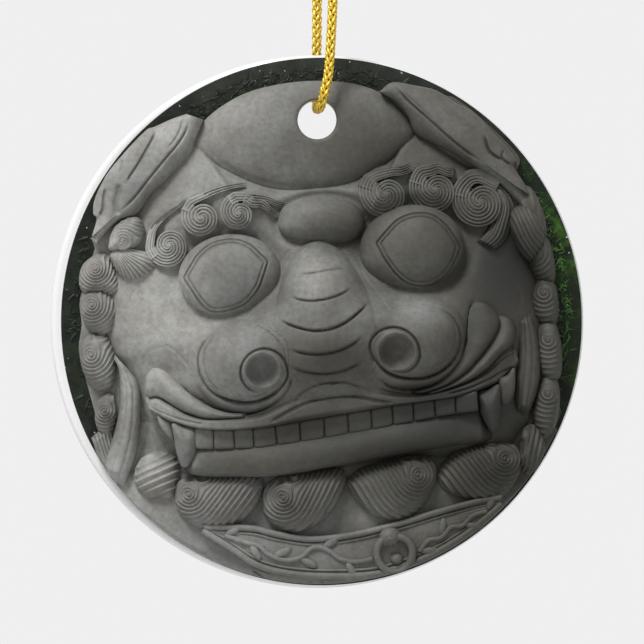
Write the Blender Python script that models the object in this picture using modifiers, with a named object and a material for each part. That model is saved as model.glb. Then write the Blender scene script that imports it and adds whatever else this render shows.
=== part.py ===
"""A round ceramic ornament on a gold cord, with a guardian lion's head in half relief on its face.

The origin is the point that the cord's loop hangs from, +Z is up and the face looks along -Y.
A place on the relief is given as across (+X) and up (+Z) from the disc's centre, and out from its face.
"""

import math
from collections import namedtuple
from functools import partial

import bmesh
import bpy
from mathutils import Matrix, Vector

# All sizes are in millimetres, and MM turns them into metres.
MM = 0.001
CLEARANCE = 0.3
# Each seat is cut a hair wider than the one before, so that no two cuts share a plane.
SEAT_STEP = 0.002

# The disc and its punched hole
DISC_DIAMETER = 73.0
DISC_THICKNESS = 4.0
DISC_EDGE_ROUND = 0.8
HOLE_DIAMETER = 5.3
HOLE_FROM_EDGE = 8.96

# The cord, from the point it hangs from down to the hole's top edge
CORD_DIAMETER = 1.3
HANG_HEIGHT = 55.0
BEND_RADIUS = 2.8
BEND_INSET = 0.5
PIVOT_ACROSS = 0.1
CORD_STEP = 2.6
KNOT_WIDTH = 4.4
KNOT_HEIGHT = 4.8
KNOT_ABOVE_HANG = 1.4
TAIL_LENGTH = 6.0
TAIL_SPREAD = 2.4

# The relief. Its ears end this far inside the disc's edge, and nothing on it comes nearer than the rim inset.
EAR_MARGIN = 0.8
RIM_INSET = 0.3
PLATE_THICKNESS = 1.0
POCKET_FLOOR = 1.0

DISC_RADIUS = DISC_DIAMETER / 2
HOLE_Z = -HANG_HEIGHT - HOLE_DIAMETER / 2
DISC_Z = HOLE_Z + HOLE_FROM_EDGE - DISC_RADIUS
HOLE_UP = DISC_RADIUS - HOLE_FROM_EDGE
PLATE_OUT = CLEARANCE + PLATE_THICKNESS
LOW_LEVEL = PLATE_OUT + CLEARANCE
HIGH_LEVEL = LOW_LEVEL + POCKET_FLOOR

# A lump is a tilted ellipsoid, cut flat at the back. Its wide, tall and deep are half sizes.
# A positive taper widens its top, and a power over 2 makes its outline squarer.
Lump = namedtuple("Lump", "across up out wide tall deep tilt taper power", defaults=(0.0, 0.0, 2.0))

FOREHEAD = Lump(-1.4, 24.8, LOW_LEVEL, 15.0, 7.9, 3.4, 5.0)

# The face is a dome over this outline, as across and up, with its middle here.
FACE_MIDDLE = (-0.3, 0.2)
FACE_RISE = 5.4
FACE_FULLNESS = 2.6
FACE_OUTLINE = [
    (-0.3, 18.8), (-9.0, 19.6), (-13.6, 22.0), (-16.2, 24.4), (-17.4, 22.0), (-20.4, 18.6), (-23.8, 14.9),
    (-26.6, 13.2), (-27.6, 10.4), (-27.6, 6.0), (-27.8, 0.0), (-27.0, -6.0), (-25.6, -11.0), (-24.4, -15.0),
    (-22.0, -18.8), (-18.0, -21.8), (-13.0, -23.2), (-5.0, -23.0), (5.0, -21.9), (13.0, -21.0), (19.0, -20.0),
    (23.5, -18.4), (26.4, -15.0), (27.6, -9.0), (28.0, -3.0), (27.9, 3.0), (27.4, 9.0), (26.6, 14.0),
    (24.9, 16.9), (21.8, 20.2), (12.9, 24.6), (10.2, 22.2), (6.6, 19.6),
]
FACE_STEP = 3.0
FACE_RINGS = (0.2, 0.38, 0.54, 0.68, 0.79, 0.88, 0.95)

# Soft rises on the face's front. Their wide and tall are half sizes.
Swell = namedtuple("Swell", "across up wide tall rise tilt", defaults=(0.0,))

FACE_SWELLS = {
    "muzzle": Swell(1.5, -3.5, 25.0, 11.0, 3.2, 7.0),
    "upper_lip_mound": Swell(1.5, -9.5, 27.0, 8.5, 1.2, 5.0),
    "left_cheek": Swell(-23.0, 0.5, 10.0, 13.0, 1.2),
    "right_cheek": Swell(24.0, 3.0, 9.0, 12.0, 1.2),
    "brow": Swell(0.0, 18.5, 23.0, 6.5, 1.2),
}
BROW_KNOB = Lump(0.6, 13.8, 4.6, 5.9, 3.3, 4.0, 3.0)
EYES = {
    "left_eye": Lump(-11.9, 6.3, 5.2, 7.0, 5.5, 4.2, 8.0),
    "right_eye": Lump(12.9, 10.1, 5.2, 7.1, 5.5, 4.2, 8.0),
}
NOSTRILS = {
    "left_nostril": Lump(-9.7, -5.6, 5.6, 6.5, 5.7, 6.4, 10.0),
    "right_nostril": Lump(13.2, -2.6, 5.6, 6.8, 5.6, 6.2, 12.0),
}
NOSTRIL_PITS = {
    "left_nostril": Lump(-7.4, -6.8, 12.4, 2.2, 2.2, 2.4),
    "right_nostril": Lump(10.8, -3.9, 12.2, 2.6, 2.6, 2.4),
}
NOSE_BRIDGE = Lump(0.9, 0.6, 5.6, 6.8, 10.6, 7.9, 5.0, -0.22)
BROW_CURLS = {
    "left_brow_curl_1": Lump(-10.7, 15.1, 4.6, 3.4, 3.2, 3.2, 20.0),
    "left_brow_curl_2": Lump(-15.9, 14.6, 4.4, 3.1, 3.1, 3.2, 20.0),
    "left_brow_curl_3": Lump(-20.5, 10.6, 4.0, 3.5, 3.5, 3.2, 20.0),
    "left_brow_curl_4": Lump(-26.2, 11.2, 3.2, 2.6, 3.0, 2.8, 30.0),
    "left_brow_curl_5": Lump(-24.8, 7.7, 3.2, 3.4, 2.4, 2.6, 40.0),
    "right_brow_curl_1": Lump(9.7, 18.0, 4.2, 3.6, 3.4, 3.2, -10.0),
    "right_brow_curl_2": Lump(16.4, 18.0, 4.0, 3.0, 3.2, 3.2, -10.0),
    "right_brow_curl_3": Lump(22.6, 16.3, 3.8, 3.7, 3.9, 3.0, -20.0),
    "right_brow_curl_4": Lump(26.9, 11.8, 3.2, 2.9, 4.2, 2.6, -10.0),
}
MANE_CURLS = {
    "left_mane_curl_1": Lump(-29.6, 6.9, LOW_LEVEL, 2.6, 2.7, 3.0),
    "left_mane_curl_2": Lump(-30.5, 2.0, LOW_LEVEL, 2.7, 2.9, 3.0),
    "left_mane_curl_3": Lump(-30.8, -4.3, LOW_LEVEL, 2.7, 3.9, 2.8),
    "left_mane_curl_4": Lump(-29.2, -11.8, LOW_LEVEL, 2.3, 4.2, 2.6),
    "right_mane_curl_1": Lump(29.8, 15.0, LOW_LEVEL, 2.6, 3.4, 2.6, -25.0),
    "right_mane_curl_2": Lump(31.0, 8.9, LOW_LEVEL, 2.4, 3.5, 2.6, -10.0),
    "right_mane_curl_3": Lump(31.7, 2.9, LOW_LEVEL, 2.4, 3.1, 2.6),
    "right_mane_curl_4": Lump(32.2, -3.9, LOW_LEVEL, 2.5, 4.0, 2.6),
    "right_mane_curl_5": Lump(31.7, -11.8, LOW_LEVEL, 2.4, 4.2, 2.4, 12.0),
}
BEARD_CURLS = {
    "beard_curl_3": Lump(-1.9, -24.5, 3.8, 5.4, 4.2, 3.4, 5.0),
    "beard_curl_2": Lump(-13.4, -24.6, 3.6, 5.9, 3.6, 3.2, -4.0),
    "beard_curl_4": Lump(10.0, -22.9, 3.8, 6.1, 4.2, 3.4, 12.0),
    "beard_curl_5": Lump(22.2, -20.4, 3.4, 5.4, 3.8, 3.0, 20.0),
    "beard_curl_1": Lump(-22.3, -21.3, 3.0, 3.2, 3.6, 2.8, 10.0),
    "beard_curl_6": Lump(29.6, -17.0, 2.8, 2.4, 4.0, 2.4, -20.0),
}
COLLAR_KNOB = Lump(10.0, -29.4, 4.6, 1.1, 1.0, 1.6)
COLLAR_BEAD = Lump(10.9, -32.4, 4.6, 0.8, 0.7, 1.2)
CHEST = Lump(0.0, -29.0, LOW_LEVEL, 34.0, 12.5, 2.4)

# Rows of across, up, out and radius along the middle of a rounded strip
UPPER_LIP = [
    (-22.9, -8.3, 4.8, 1.5), (-19.4, -10.1, 5.6, 2.3), (-14.0, -12.1, 6.4, 2.3), (-6.4, -12.3, 6.9, 2.2),
    (1.8, -11.3, 7.0, 2.2), (10.7, -9.8, 6.9, 2.2), (17.5, -9.1, 6.4, 2.0), (22.6, -8.0, 5.6, 1.7),
    (26.0, -4.9, 4.4, 1.1),
]
LOWER_LIP = [
    (-21.0, -16.9, 4.6, 1.2), (-17.4, -19.3, 5.4, 1.7), (-9.2, -19.0, 6.0, 1.8), (-1.0, -18.3, 6.2, 1.9),
    (5.9, -17.6, 6.2, 1.9), (11.6, -16.6, 6.0, 1.8), (18.2, -15.5, 5.4, 1.7), (24.4, -14.2, 4.4, 1.2),
]
LIP_ROLLS = {
    "left_lip_roll": [(-22.6, -4.7, 4.6, 1.3), (-19.0, -5.8, 5.8, 1.8), (-15.8, -8.1, 6.6, 1.5), (-13.2, -10.0, 6.8, 0.9)],
    "right_lip_roll_inner": [(22.0, 2.5, 5.6, 0.8), (21.0, -1.4, 6.2, 1.3), (18.9, -4.6, 6.6, 1.4), (15.5, -7.0, 6.8, 1.0)],
    "right_lip_roll_outer": [(25.5, 0.8, 4.2, 0.8), (24.6, -2.4, 5.0, 1.3), (22.0, -5.3, 5.8, 1.4), (18.1, -7.2, 6.4, 0.9)],
}
# The exact solver leaves gaps in these at some sizes, because so many pockets meet in them.
MANY_POCKETS = ("face", "chest")
FANGS = {
    "left_fang": [(-18.2, -12.4, 6.9, 1.5), (-18.2, -15.6, 7.2, 1.35), (-18.4, -20.0, 7.0, 0.4)],
    "right_fang": [(23.3, -8.4, 5.9, 1.5), (23.9, -11.6, 6.2, 1.3), (24.4, -15.8, 6.2, 0.4)],
}
SIDE_LOCKS = {
    "left_side_lock": [(-27.6, -5.0, 3.0, 1.2), (-27.0, -10.8, 3.4, 1.7), (-26.0, -18.2, 3.2, 1.7), (-25.4, -23.4, 2.8, 1.2)],
    "right_side_lock": [(28.4, 0.6, 3.0, 1.2), (28.9, -5.6, 3.4, 1.7), (28.2, -11.6, 3.2, 1.6)],
}
STRIP_STEP = 3.2
COLLAR_RIM_RADIUS = 0.5
COLLAR_RIM_OUT = 4.9

# Outlines as across and up
LEFT_EAR = [
    (-15.6, 27.6), (-17.8, 28.3), (-22.5, 26.6), (-27.1, 22.5), (-29.3, 19.5), (-30.5, 16.0),
    (-30.1, 13.9), (-30.7, 11.4), (-27.1, 14.0), (-23.7, 15.5), (-17.0, 22.8),
]
RIGHT_EAR = [
    (8.5, 31.6), (10.4, 32.7), (16.4, 31.7), (19.6, 30.1), (27.1, 23.1), (27.1, 20.5),
    (28.2, 18.3), (26.2, 16.9), (22.6, 20.8), (13.1, 25.4),
]
COLLAR_TOP = [
    (-14.5, -28.7), (-8.6, -29.2), (-2.3, -29.8), (3.2, -29.6), (11.4, -28.1), (19.6, -25.4), (26.2, -22.2),
]
COLLAR_FOOT = [
    (-13.6, -31.2), (-8.9, -33.4), (-2.3, -34.8), (3.7, -34.6), (8.1, -34.0), (14.7, -32.3), (20.5, -30.0),
    (28.0, -26.0),
]
LION_OUTLINE = [
    (-15.6, 27.9), (-12.6, 30.6), (-7.8, 32.3), (0.4, 33.1), (7.3, 32.3), (10.4, 32.8), (16.4, 31.8),
    (19.6, 30.2), (27.2, 23.2), (27.4, 20.5), (28.6, 18.0), (31.0, 14.3), (32.0, 8.8), (32.9, 4.2),
    (33.7, -3.9), (34.1, -10.8), (38.0, -14.0), (38.0, -38.0), (-38.0, -38.0), (-38.0, -16.9),
    (-30.1, -16.9), (-29.4, -14.9), (-31.9, -8.0), (-32.6, -3.9), (-32.2, -0.5), (-32.5, 2.5),
    (-31.9, 5.0), (-31.5, 7.3), (-30.4, 9.8), (-30.8, 11.4), (-30.2, 13.9), (-30.6, 16.0),
    (-29.4, 19.5), (-27.2, 22.6), (-22.6, 26.7), (-17.8, 28.5),
]
EAR_FRONT = 4.4
COLLAR_FRONT = 4.9
EDGE_ROUND = 0.7

# The drawing above spreads evenly until its ears meet their margin.
SPREAD = (DISC_RADIUS - EAR_MARGIN) / max(math.hypot(*corner) for corner in LEFT_EAR + RIGHT_EAR)

# Cutters run this far past what they cut.
CUTTER_REACH = 20.0

# The ring through the collar's knob
RING_ACROSS = 10.6
RING_UP = -31.6
RING_OUT = 5.4
RING_RADIUS = 2.2
RING_THICKNESS = 1.0

# Upper teeth, in a row that bends like the jaw
TEETH = 13
TEETH_START = -16.6
TOOTH_WIDTH = 2.96
TOOTH_HEIGHT = 2.9
TOOTH_NOTCH = 0.4
TEETH_FRONT = 7.3
TEETH_MIDDLE = 1.8
TEETH_UP = -15.8
TEETH_SLOPE = 0.126
TEETH_BEND = 0.0024

STONE = ("stone_glaze", (0.42, 0.40, 0.36), 0.75, 0.0)
PORCELAIN = ("white_porcelain", (0.86, 0.86, 0.84), 0.2, 0.0)
GOLD = ("gold_cord", (0.80, 0.58, 0.16), 0.4, 0.8)


def clear_scene():
    for item in list(bpy.data.objects):
        bpy.data.objects.remove(item, do_unlink=True)


def new_collection(name):
    collection = bpy.data.collections.new(name)
    bpy.context.scene.collection.children.link(collection)
    return collection


def material(look):
    name, colour, roughness, metallic = look
    found = bpy.data.materials.get(name)
    if found:
        return found
    made = bpy.data.materials.new(name)
    made.use_nodes = True
    made.diffuse_color = (*colour, 1.0)
    shader = made.node_tree.nodes["Principled BSDF"]
    shader.inputs["Base Color"].default_value = (*colour, 1.0)
    shader.inputs["Roughness"].default_value = roughness
    shader.inputs["Metallic"].default_value = metallic
    return made


def place(across, up, out):
    """The point in the scene of a place on the relief."""
    return Vector((across * SPREAD, -out, DISC_Z + up * SPREAD)) * MM


def add_object(name, data, centre):
    made = bpy.data.objects.new(name, data)
    made.location = centre
    bpy.context.scene.collection.objects.link(made)
    return made


def cut_flat(bm, height):
    """Cuts off all that lies behind the plane y = height and closes the cut."""
    geometry = bm.verts[:] + bm.edges[:] + bm.faces[:]
    cut = bmesh.ops.bisect_plane(
        bm, geom=geometry, plane_co=(0, height, 0), plane_no=(0, 1, 0), clear_outer=True
    )
    loop = [item for item in cut["geom_cut"] if isinstance(item, bmesh.types.BMEdge)]
    if loop:
        bmesh.ops.contextual_create(bm, geom=loop)


def lump(shape, level, name, grow):
    """An ellipsoid that keeps only what stands out further than its level."""
    bm = bmesh.new()
    size = max(shape.wide, shape.tall)
    rings = 6 if size < 2 else 7 if size < 5 else 8 if size < 9 else 12
    face_on = Matrix.Rotation(math.radians(90), 4, "X")
    bmesh.ops.create_uvsphere(bm, u_segments=2 * rings, v_segments=rings, radius=1.0, matrix=face_on)
    for vert in bm.verts:
        angle = math.atan2(vert.co.z, vert.co.x)
        squarer = (abs(math.cos(angle)) ** shape.power + abs(math.sin(angle)) ** shape.power) ** (-1 / shape.power)
        vert.co.z *= squarer
        vert.co.x *= squarer * (1 + shape.taper * vert.co.z)
    half = Vector((shape.wide * SPREAD + grow, shape.deep + grow, shape.tall * SPREAD + grow)) * MM
    bmesh.ops.scale(bm, vec=half, verts=bm.verts)
    bmesh.ops.rotate(bm, matrix=Matrix.Rotation(math.radians(-shape.tilt), 3, "Y"), verts=bm.verts)
    cut_flat(bm, (shape.out - level + grow) * MM)
    bmesh.ops.recalc_face_normals(bm, faces=bm.faces)
    mesh = bpy.data.meshes.new(name)
    bm.to_mesh(mesh)
    bm.free()
    mesh.shade_smooth()
    mesh.set_sharp_from_angle(angle=math.radians(50))
    return add_object(name, mesh, place(shape.across, shape.up, shape.out))


def swelling(across, up):
    """How far the face's swells lift its front at a place."""
    total = 0.0
    for swell in FACE_SWELLS.values():
        turn = math.radians(swell.tilt)
        x, z = across - swell.across, up - swell.up
        u = (x * math.cos(turn) + z * math.sin(turn)) / swell.wide
        v = (z * math.cos(turn) - x * math.sin(turn)) / swell.tall
        total += swell.rise * max(0.0, 1 - u * u - v * v) ** 2
    return total


def smooth_points(rows, step):
    """Points about a step apart on a smooth curve through the rows, which may be of any length."""
    ends = [2 * rows[0] - rows[1]] + rows + [2 * rows[-1] - rows[-2]]
    found = []
    for before, start, end, after in zip(ends, ends[1:], ends[2:], ends[3:]):
        count = max(1, round((end - start).length / step))
        for i in range(count):
            t = i / count
            found.append(
                start
                + 0.5 * t * (end - before)
                + t * t * (before - 2.5 * start + 2 * end - 0.5 * after)
                + t * t * t * (1.5 * (start - end) + 0.5 * (after - before))
            )
    return found + [rows[-1]]


def curve_to_mesh(item):
    """The closed mesh object of a curve object, with the same name and place."""
    bpy.context.view_layer.update()
    graph = bpy.context.evaluated_depsgraph_get()
    mesh = bpy.data.meshes.new_from_object(item.evaluated_get(graph))
    bm = bmesh.new()
    bm.from_mesh(mesh)
    bmesh.ops.remove_doubles(bm, verts=bm.verts, dist=1e-7)
    bmesh.ops.triangulate(bm, faces=[face for face in bm.faces if len(face.verts) > 4])
    bmesh.ops.recalc_face_normals(bm, faces=bm.faces)
    bm.to_mesh(mesh)
    bm.free()
    mesh.shade_smooth()
    mesh.set_sharp_from_angle(angle=math.radians(50))
    name, world = item.name, item.matrix_world.copy()
    bpy.data.objects.remove(item, do_unlink=True)
    made = add_object(name, mesh, (0, 0, 0))
    made.name = name
    made.matrix_world = world
    return made


def tube_curve(name, points, radii, centre, resolution):
    """A curve object with filled caps; its points and radii are in metres."""
    curve = bpy.data.curves.new(name, "CURVE")
    curve.dimensions = "3D"
    curve.bevel_depth = 1.0
    curve.bevel_resolution = resolution
    curve.use_fill_caps = True
    spline = curve.splines.new("POLY")
    spline.points.add(len(points) - 1)
    for point, at, radius in zip(spline.points, points, radii):
        point.co = (*(at - centre), 1)
        point.radius = radius
    return add_object(name, curve, centre)


def strip(rows, name, grow):
    """A rounded strip whose rows give across, up, out and radius."""
    smooth = smooth_points([Vector(row) for row in rows], STRIP_STEP)
    points = [place(row[0], row[1], row[2]) for row in smooth]
    radii = [(row[3] + grow) * MM for row in smooth]
    return curve_to_mesh(tube_curve(name, points, radii, points[0], 1))


def pushed_out(outline, distance):
    """The outline with each corner moved outwards by the distance along its two edges' mean normal."""
    points = [Vector(point) for point in outline]
    area = sum(a.cross(b) for a, b in zip(points, points[1:] + points[:1]))
    side = math.copysign(distance, area)
    moved = []
    for before, point, after in zip(points[-1:] + points, points, points[1:] + points[:1]):
        along = (point - before).normalized() + (after - point).normalized()
        normal = Vector((along.y, -along.x)).normalized()
        moved.append(point + side * normal)
    return moved


def swollen_face(name, grow):
    """A dome over the face's outline, whose front swells into a muzzle, cheeks and a brow."""
    rows = [Vector(point) for point in FACE_OUTLINE]
    edge = pushed_out(smooth_points(rows + rows[:1], FACE_STEP)[:-1], grow / SPREAD)
    middle = Vector(FACE_MIDDLE)
    bm = bmesh.new()
    centre = bm.verts.new(place(*middle, LOW_LEVEL + FACE_RISE + swelling(*middle) + grow))
    rings = []
    for share in (*FACE_RINGS, 1.0):
        dome = FACE_RISE * math.sqrt(max(0.0, 1 - share**FACE_FULLNESS))
        ring_points = []
        for point in edge:
            at = middle + share * (point - middle)
            lift = dome + swelling(*at) * min(1.0, 2 * dome / FACE_RISE)
            ring_points.append(bm.verts.new(place(*at, LOW_LEVEL + lift + grow)))
        rings.append(ring_points)
    if grow:
        rings.append([bm.verts.new(place(*point, LOW_LEVEL - grow)) for point in edge])
    count = len(edge)
    for i in range(count):
        j = (i + 1) % count
        bm.faces.new((centre, rings[0][i], rings[0][j]))
        for inner, outer in zip(rings, rings[1:]):
            bm.faces.new((inner[i], outer[i], outer[j], inner[j]))
    bm.faces.new(rings[-1])
    bmesh.ops.recalc_face_normals(bm, faces=bm.faces)
    mesh = bpy.data.meshes.new(name)
    bm.to_mesh(mesh)
    bm.free()
    mesh.shade_smooth()
    mesh.set_sharp_from_angle(angle=math.radians(50))
    return add_object(name, mesh, (0, 0, 0))


def plate(outline, low, high, edge, name, grow):
    """A flat piece between two levels, with its edges rounded."""
    curve = bpy.data.curves.new(name, "CURVE")
    curve.dimensions = "2D"
    curve.fill_mode = "BOTH"
    curve.extrude = ((high - low) / 2 + grow) * MM
    spline = curve.splines.new("POLY")
    points = pushed_out(outline, grow)
    spline.points.add(len(points) - 1)
    for point, at in zip(spline.points, points):
        point.co = (at.x * SPREAD * MM, at.y * SPREAD * MM, 0, 1)
    spline.use_cyclic_u = True
    item = add_object(name, curve, place(0, 0, (low + high) / 2))
    item.rotation_euler.x = math.radians(90)
    made = curve_to_mesh(item)
    if edge:
        bevel = made.modifiers.new("rounded_edges", "BEVEL")
        bevel.width = edge * MM
        bevel.segments = 2
        bevel.limit_method = "ANGLE"
        bevel.angle_limit = math.radians(50)
    return made


def teeth_outline(notch):
    """The row of upper teeth, with a notch this wide between each two at their biting edge."""

    def biting_edge(across):
        offset = across - TEETH_MIDDLE
        return TEETH_UP + TEETH_SLOPE * offset + TEETH_BEND * offset * offset

    edge = []
    top = []
    for i in range(TEETH):
        left = TEETH_START + i * TOOTH_WIDTH + notch / 2
        right = left + TOOTH_WIDTH - notch
        if notch or i == 0:
            edge.append((left, biting_edge(left)))
        edge.append((right, biting_edge(right)))
        if i < TEETH - 1:
            middle = right + notch / 2
            if notch:
                edge.append((middle, biting_edge(middle) + 2 * notch))
            top.append((middle, biting_edge(middle) + TOOTH_HEIGHT))
    ends = [(x, biting_edge(x) + TOOTH_HEIGHT) for x in (edge[0][0], edge[-1][0])]
    return edge + [ends[1]] + top[::-1] + [ends[0]]


def teeth(name, grow):
    """The row of upper teeth. Its seat has no notches, so that no thin fin is left between them."""
    return plate(teeth_outline(0.0 if grow else TOOTH_NOTCH), HIGH_LEVEL, TEETH_FRONT, 0.0, name, grow)


def ring(name, grow):
    """The ring that hangs in the collar's knob, cut as one with it in the relief."""
    bpy.ops.mesh.primitive_torus_add(
        major_segments=20,
        minor_segments=6,
        major_radius=RING_RADIUS * MM,
        minor_radius=(RING_THICKNESS / 2 + grow) * MM,
        location=place(RING_ACROSS, RING_UP, RING_OUT),
        rotation=(math.radians(90), 0, 0),
    )
    made = bpy.context.object
    made.name = name
    made.data.shade_smooth()
    return made


def relief_pieces():
    """The name and the maker of each raised piece. A piece is cut to fit round those named before it."""
    yield "brow_knob", partial(lump, BROW_KNOB, HIGH_LEVEL)
    for name, shape in {**EYES, **NOSTRILS}.items():
        yield name, partial(lump, shape, HIGH_LEVEL)
    yield "nose_bridge", partial(lump, NOSE_BRIDGE, HIGH_LEVEL)
    for name, rows in LIP_ROLLS.items():
        yield name, partial(strip, rows)
    yield "upper_lip", partial(strip, UPPER_LIP)
    for name, rows in FANGS.items():
        yield name, partial(strip, rows)
    yield "lower_lip", partial(strip, LOWER_LIP)
    yield "upper_teeth", teeth
    for name, shape in BROW_CURLS.items():
        yield name, partial(lump, shape, HIGH_LEVEL)
    yield "forehead_dome", partial(lump, FOREHEAD, LOW_LEVEL)
    for name, shape in BEARD_CURLS.items():
        yield name, partial(lump, shape, LOW_LEVEL if shape.out <= 3.0 else HIGH_LEVEL)
    yield "face", swollen_face
    for name, rows in SIDE_LOCKS.items():
        yield name, partial(strip, rows)
    for name, shape in MANE_CURLS.items():
        yield name, partial(lump, shape, LOW_LEVEL)
    yield "left_ear", partial(plate, LEFT_EAR, LOW_LEVEL, EAR_FRONT, EDGE_ROUND)
    yield "right_ear", partial(plate, RIGHT_EAR, LOW_LEVEL, EAR_FRONT, EDGE_ROUND)
    yield "collar_knob", partial(lump, COLLAR_KNOB, HIGH_LEVEL)
    yield "collar_ring", ring
    yield "collar_bead", partial(lump, COLLAR_BEAD, HIGH_LEVEL)
    for name, edge in {"collar_upper_rim": COLLAR_TOP, "collar_lower_rim": COLLAR_FOOT}.items():
        yield name, partial(strip, [(*point, COLLAR_RIM_OUT, COLLAR_RIM_RADIUS) for point in edge])
    band = [(x + COLLAR_RIM_RADIUS, up) for x, up in COLLAR_TOP] + COLLAR_FOOT[::-1]
    yield "collar_band", partial(plate, band, HIGH_LEVEL, COLLAR_FRONT, 0.0)
    yield "chest", partial(lump, CHEST, LOW_LEVEL)


def box_of(item):
    corners = [item.matrix_world @ vert.co for vert in item.data.vertices]
    return [(min(c[i] for c in corners), max(c[i] for c in corners)) for i in range(3)]


def boxes_meet(first, second):
    return all(a[0] < b[1] and b[0] < a[1] for a, b in zip(first, second))


def cut(piece, cutter, operation="DIFFERENCE", solver="EXACT"):
    modifier = piece.modifiers.new(cutter.name, "BOOLEAN")
    modifier.operation = operation
    modifier.solver = solver
    modifier.object = cutter


def cylinder(name, radius, low, high, up, segments):
    """A cylinder that stands square to the disc between two levels."""
    bm = bmesh.new()
    turn = Matrix.Rotation(math.radians(90), 4, "X")
    bmesh.ops.create_cone(
        bm, cap_ends=True, segments=segments, radius1=radius * MM, radius2=radius * MM,
        depth=(high - low) * MM, matrix=turn,
    )
    mesh = bpy.data.meshes.new(name)
    bm.to_mesh(mesh)
    bm.free()
    centre = Vector((0, -(low + high) / 2, DISC_Z + up)) * MM
    return add_object(name, mesh, centre)


def hide_cutter(item, cutters):
    item.display_type = "WIRE"
    item.hide_render = True
    move_to(item, cutters)


def move_to(item, collection):
    for owner in list(item.users_collection):
        owner.objects.unlink(item)
    collection.objects.link(item)


def finish_piece(item, look, parts):
    item.data.materials.clear()
    item.data.materials.append(material(look))
    move_to(item, parts)


def build_relief(parts, cutters, hole):
    """Every raised piece, seated in pockets in the pieces behind it."""
    rim = cylinder("rim_cutter", DISC_RADIUS - RIM_INSET, -CUTTER_REACH, CUTTER_REACH, 0.0, 80)
    plate_piece = plate(LION_OUTLINE, CLEARANCE, PLATE_OUT, 0.0, "lion_plate", 0.0)
    cut(plate_piece, rim, "INTERSECT")
    cut(plate_piece, hole)
    finish_piece(plate_piece, STONE, parts)
    seats = []
    made = [plate_piece]
    hole_box = box_of(hole)
    for index, (name, make) in enumerate(relief_pieces()):
        piece = make(name, 0.0)
        bpy.context.view_layer.update()
        box = box_of(piece)
        middle = DISC_Z * MM
        reach = max(math.hypot(x, z - middle) for x in box[0] for z in box[2])
        if reach > (DISC_RADIUS - RIM_INSET) * MM:
            cut(piece, rim, "INTERSECT")
        for seat, seat_box in seats:
            if boxes_meet(box, seat_box):
                cut(piece, seat, solver="MANIFOLD" if name in MANY_POCKETS else "EXACT")
        if name in NOSTRIL_PITS:
            pit = lump(NOSTRIL_PITS[name], 0.0, name + "_pit", 0.0)
            hide_cutter(pit, cutters)
            cut(piece, pit)
        if boxes_meet(box, hole_box):
            cut(piece, hole)
        seat = make(name + "_seat", CLEARANCE + index * SEAT_STEP)
        bpy.context.view_layer.update()
        seats.append((seat, box_of(seat)))
        finish_piece(piece, STONE, parts)
        made.append(piece)
    used = {modifier.object for piece in made for modifier in piece.modifiers if modifier.type == "BOOLEAN"}
    for seat, _ in seats:
        if seat in used:
            hide_cutter(seat, cutters)
        else:
            bpy.data.objects.remove(seat, do_unlink=True)
    hide_cutter(rim, cutters)
    return made


def build_disc(parts, cutters, hole):
    disc = cylinder("porcelain_disc", DISC_RADIUS, -DISC_THICKNESS, 0.0, 0.0, 80)
    bevel = disc.modifiers.new("rounded_edge", "BEVEL")
    bevel.width = DISC_EDGE_ROUND * MM
    bevel.segments = 2
    bevel.limit_method = "ANGLE"
    bevel.angle_limit = math.radians(50)
    cut(disc, hole)
    disc.data.shade_smooth()
    disc.data.set_sharp_from_angle(angle=math.radians(50))
    finish_piece(disc, PORCELAIN, parts)
    return disc


def forehead_out(up):
    """How far the forehead stands out from the disc at this height on its middle line."""
    share = (up / SPREAD - FOREHEAD.up) / FOREHEAD.tall
    return FOREHEAD.out + FOREHEAD.deep * math.sqrt(max(0.0, 1 - share * share))


def cord_drop():
    """How far the cord's middle lies below the hole's top edge, so that its bends clear that edge."""
    inner = BEND_RADIUS - CORD_DIAMETER / 2 - CLEARANCE
    return BEND_RADIUS - math.sqrt(inner * inner - BEND_INSET * BEND_INSET)


def cord_route():
    """From the knot down the front, through the hole and up the back, as x, y and z in millimetres."""
    bend = BEND_RADIUS
    front = -forehead_out(HOLE_UP + HOLE_DIAMETER / 2) + BEND_INSET
    back = DISC_THICKNESS - BEND_INSET
    middle = bend - HANG_HEIGHT - cord_drop()
    top = DISC_Z + DISC_RADIUS
    knot = KNOT_ABOVE_HANG - CLEARANCE
    route = [
        (0.8, -0.9, knot), (1.3, -1.1, -4.0), (2.1, -1.9, -14.0), (2.5, -3.3, -26.0),
        (2.3, -5.4, -38.0), (1.9, front - bend, top - 1.5),
    ]
    for angle in (0, 30, 60, 90):
        turn = math.radians(angle)
        route.append((1.3 - angle / 110, front - bend * math.cos(turn), middle - bend * math.sin(turn)))
    for angle in (90, 60, 30, 0):
        turn = math.radians(angle)
        route.append((angle / 900 - 0.1, back + bend * math.cos(turn), middle - bend * math.sin(turn)))
    route += [
        (-0.05, back + bend, top - 1.5), (0.0, 5.0, -38.0), (-0.2, 3.2, -26.0), (-0.5, 1.8, -14.0),
        (-0.7, 1.1, -4.0), (-0.8, 0.9, knot),
    ]
    return [Vector(point) for point in route]


def build_cord(parts):
    points = [point * MM for point in smooth_points(cord_route(), CORD_STEP)]
    radius = CORD_DIAMETER / 2 * MM
    cord = tube_curve("hanging_cord", points, [radius] * len(points), Vector((0, 0, 0)), 2)
    finish_piece(cord, GOLD, parts)
    return cord


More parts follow.
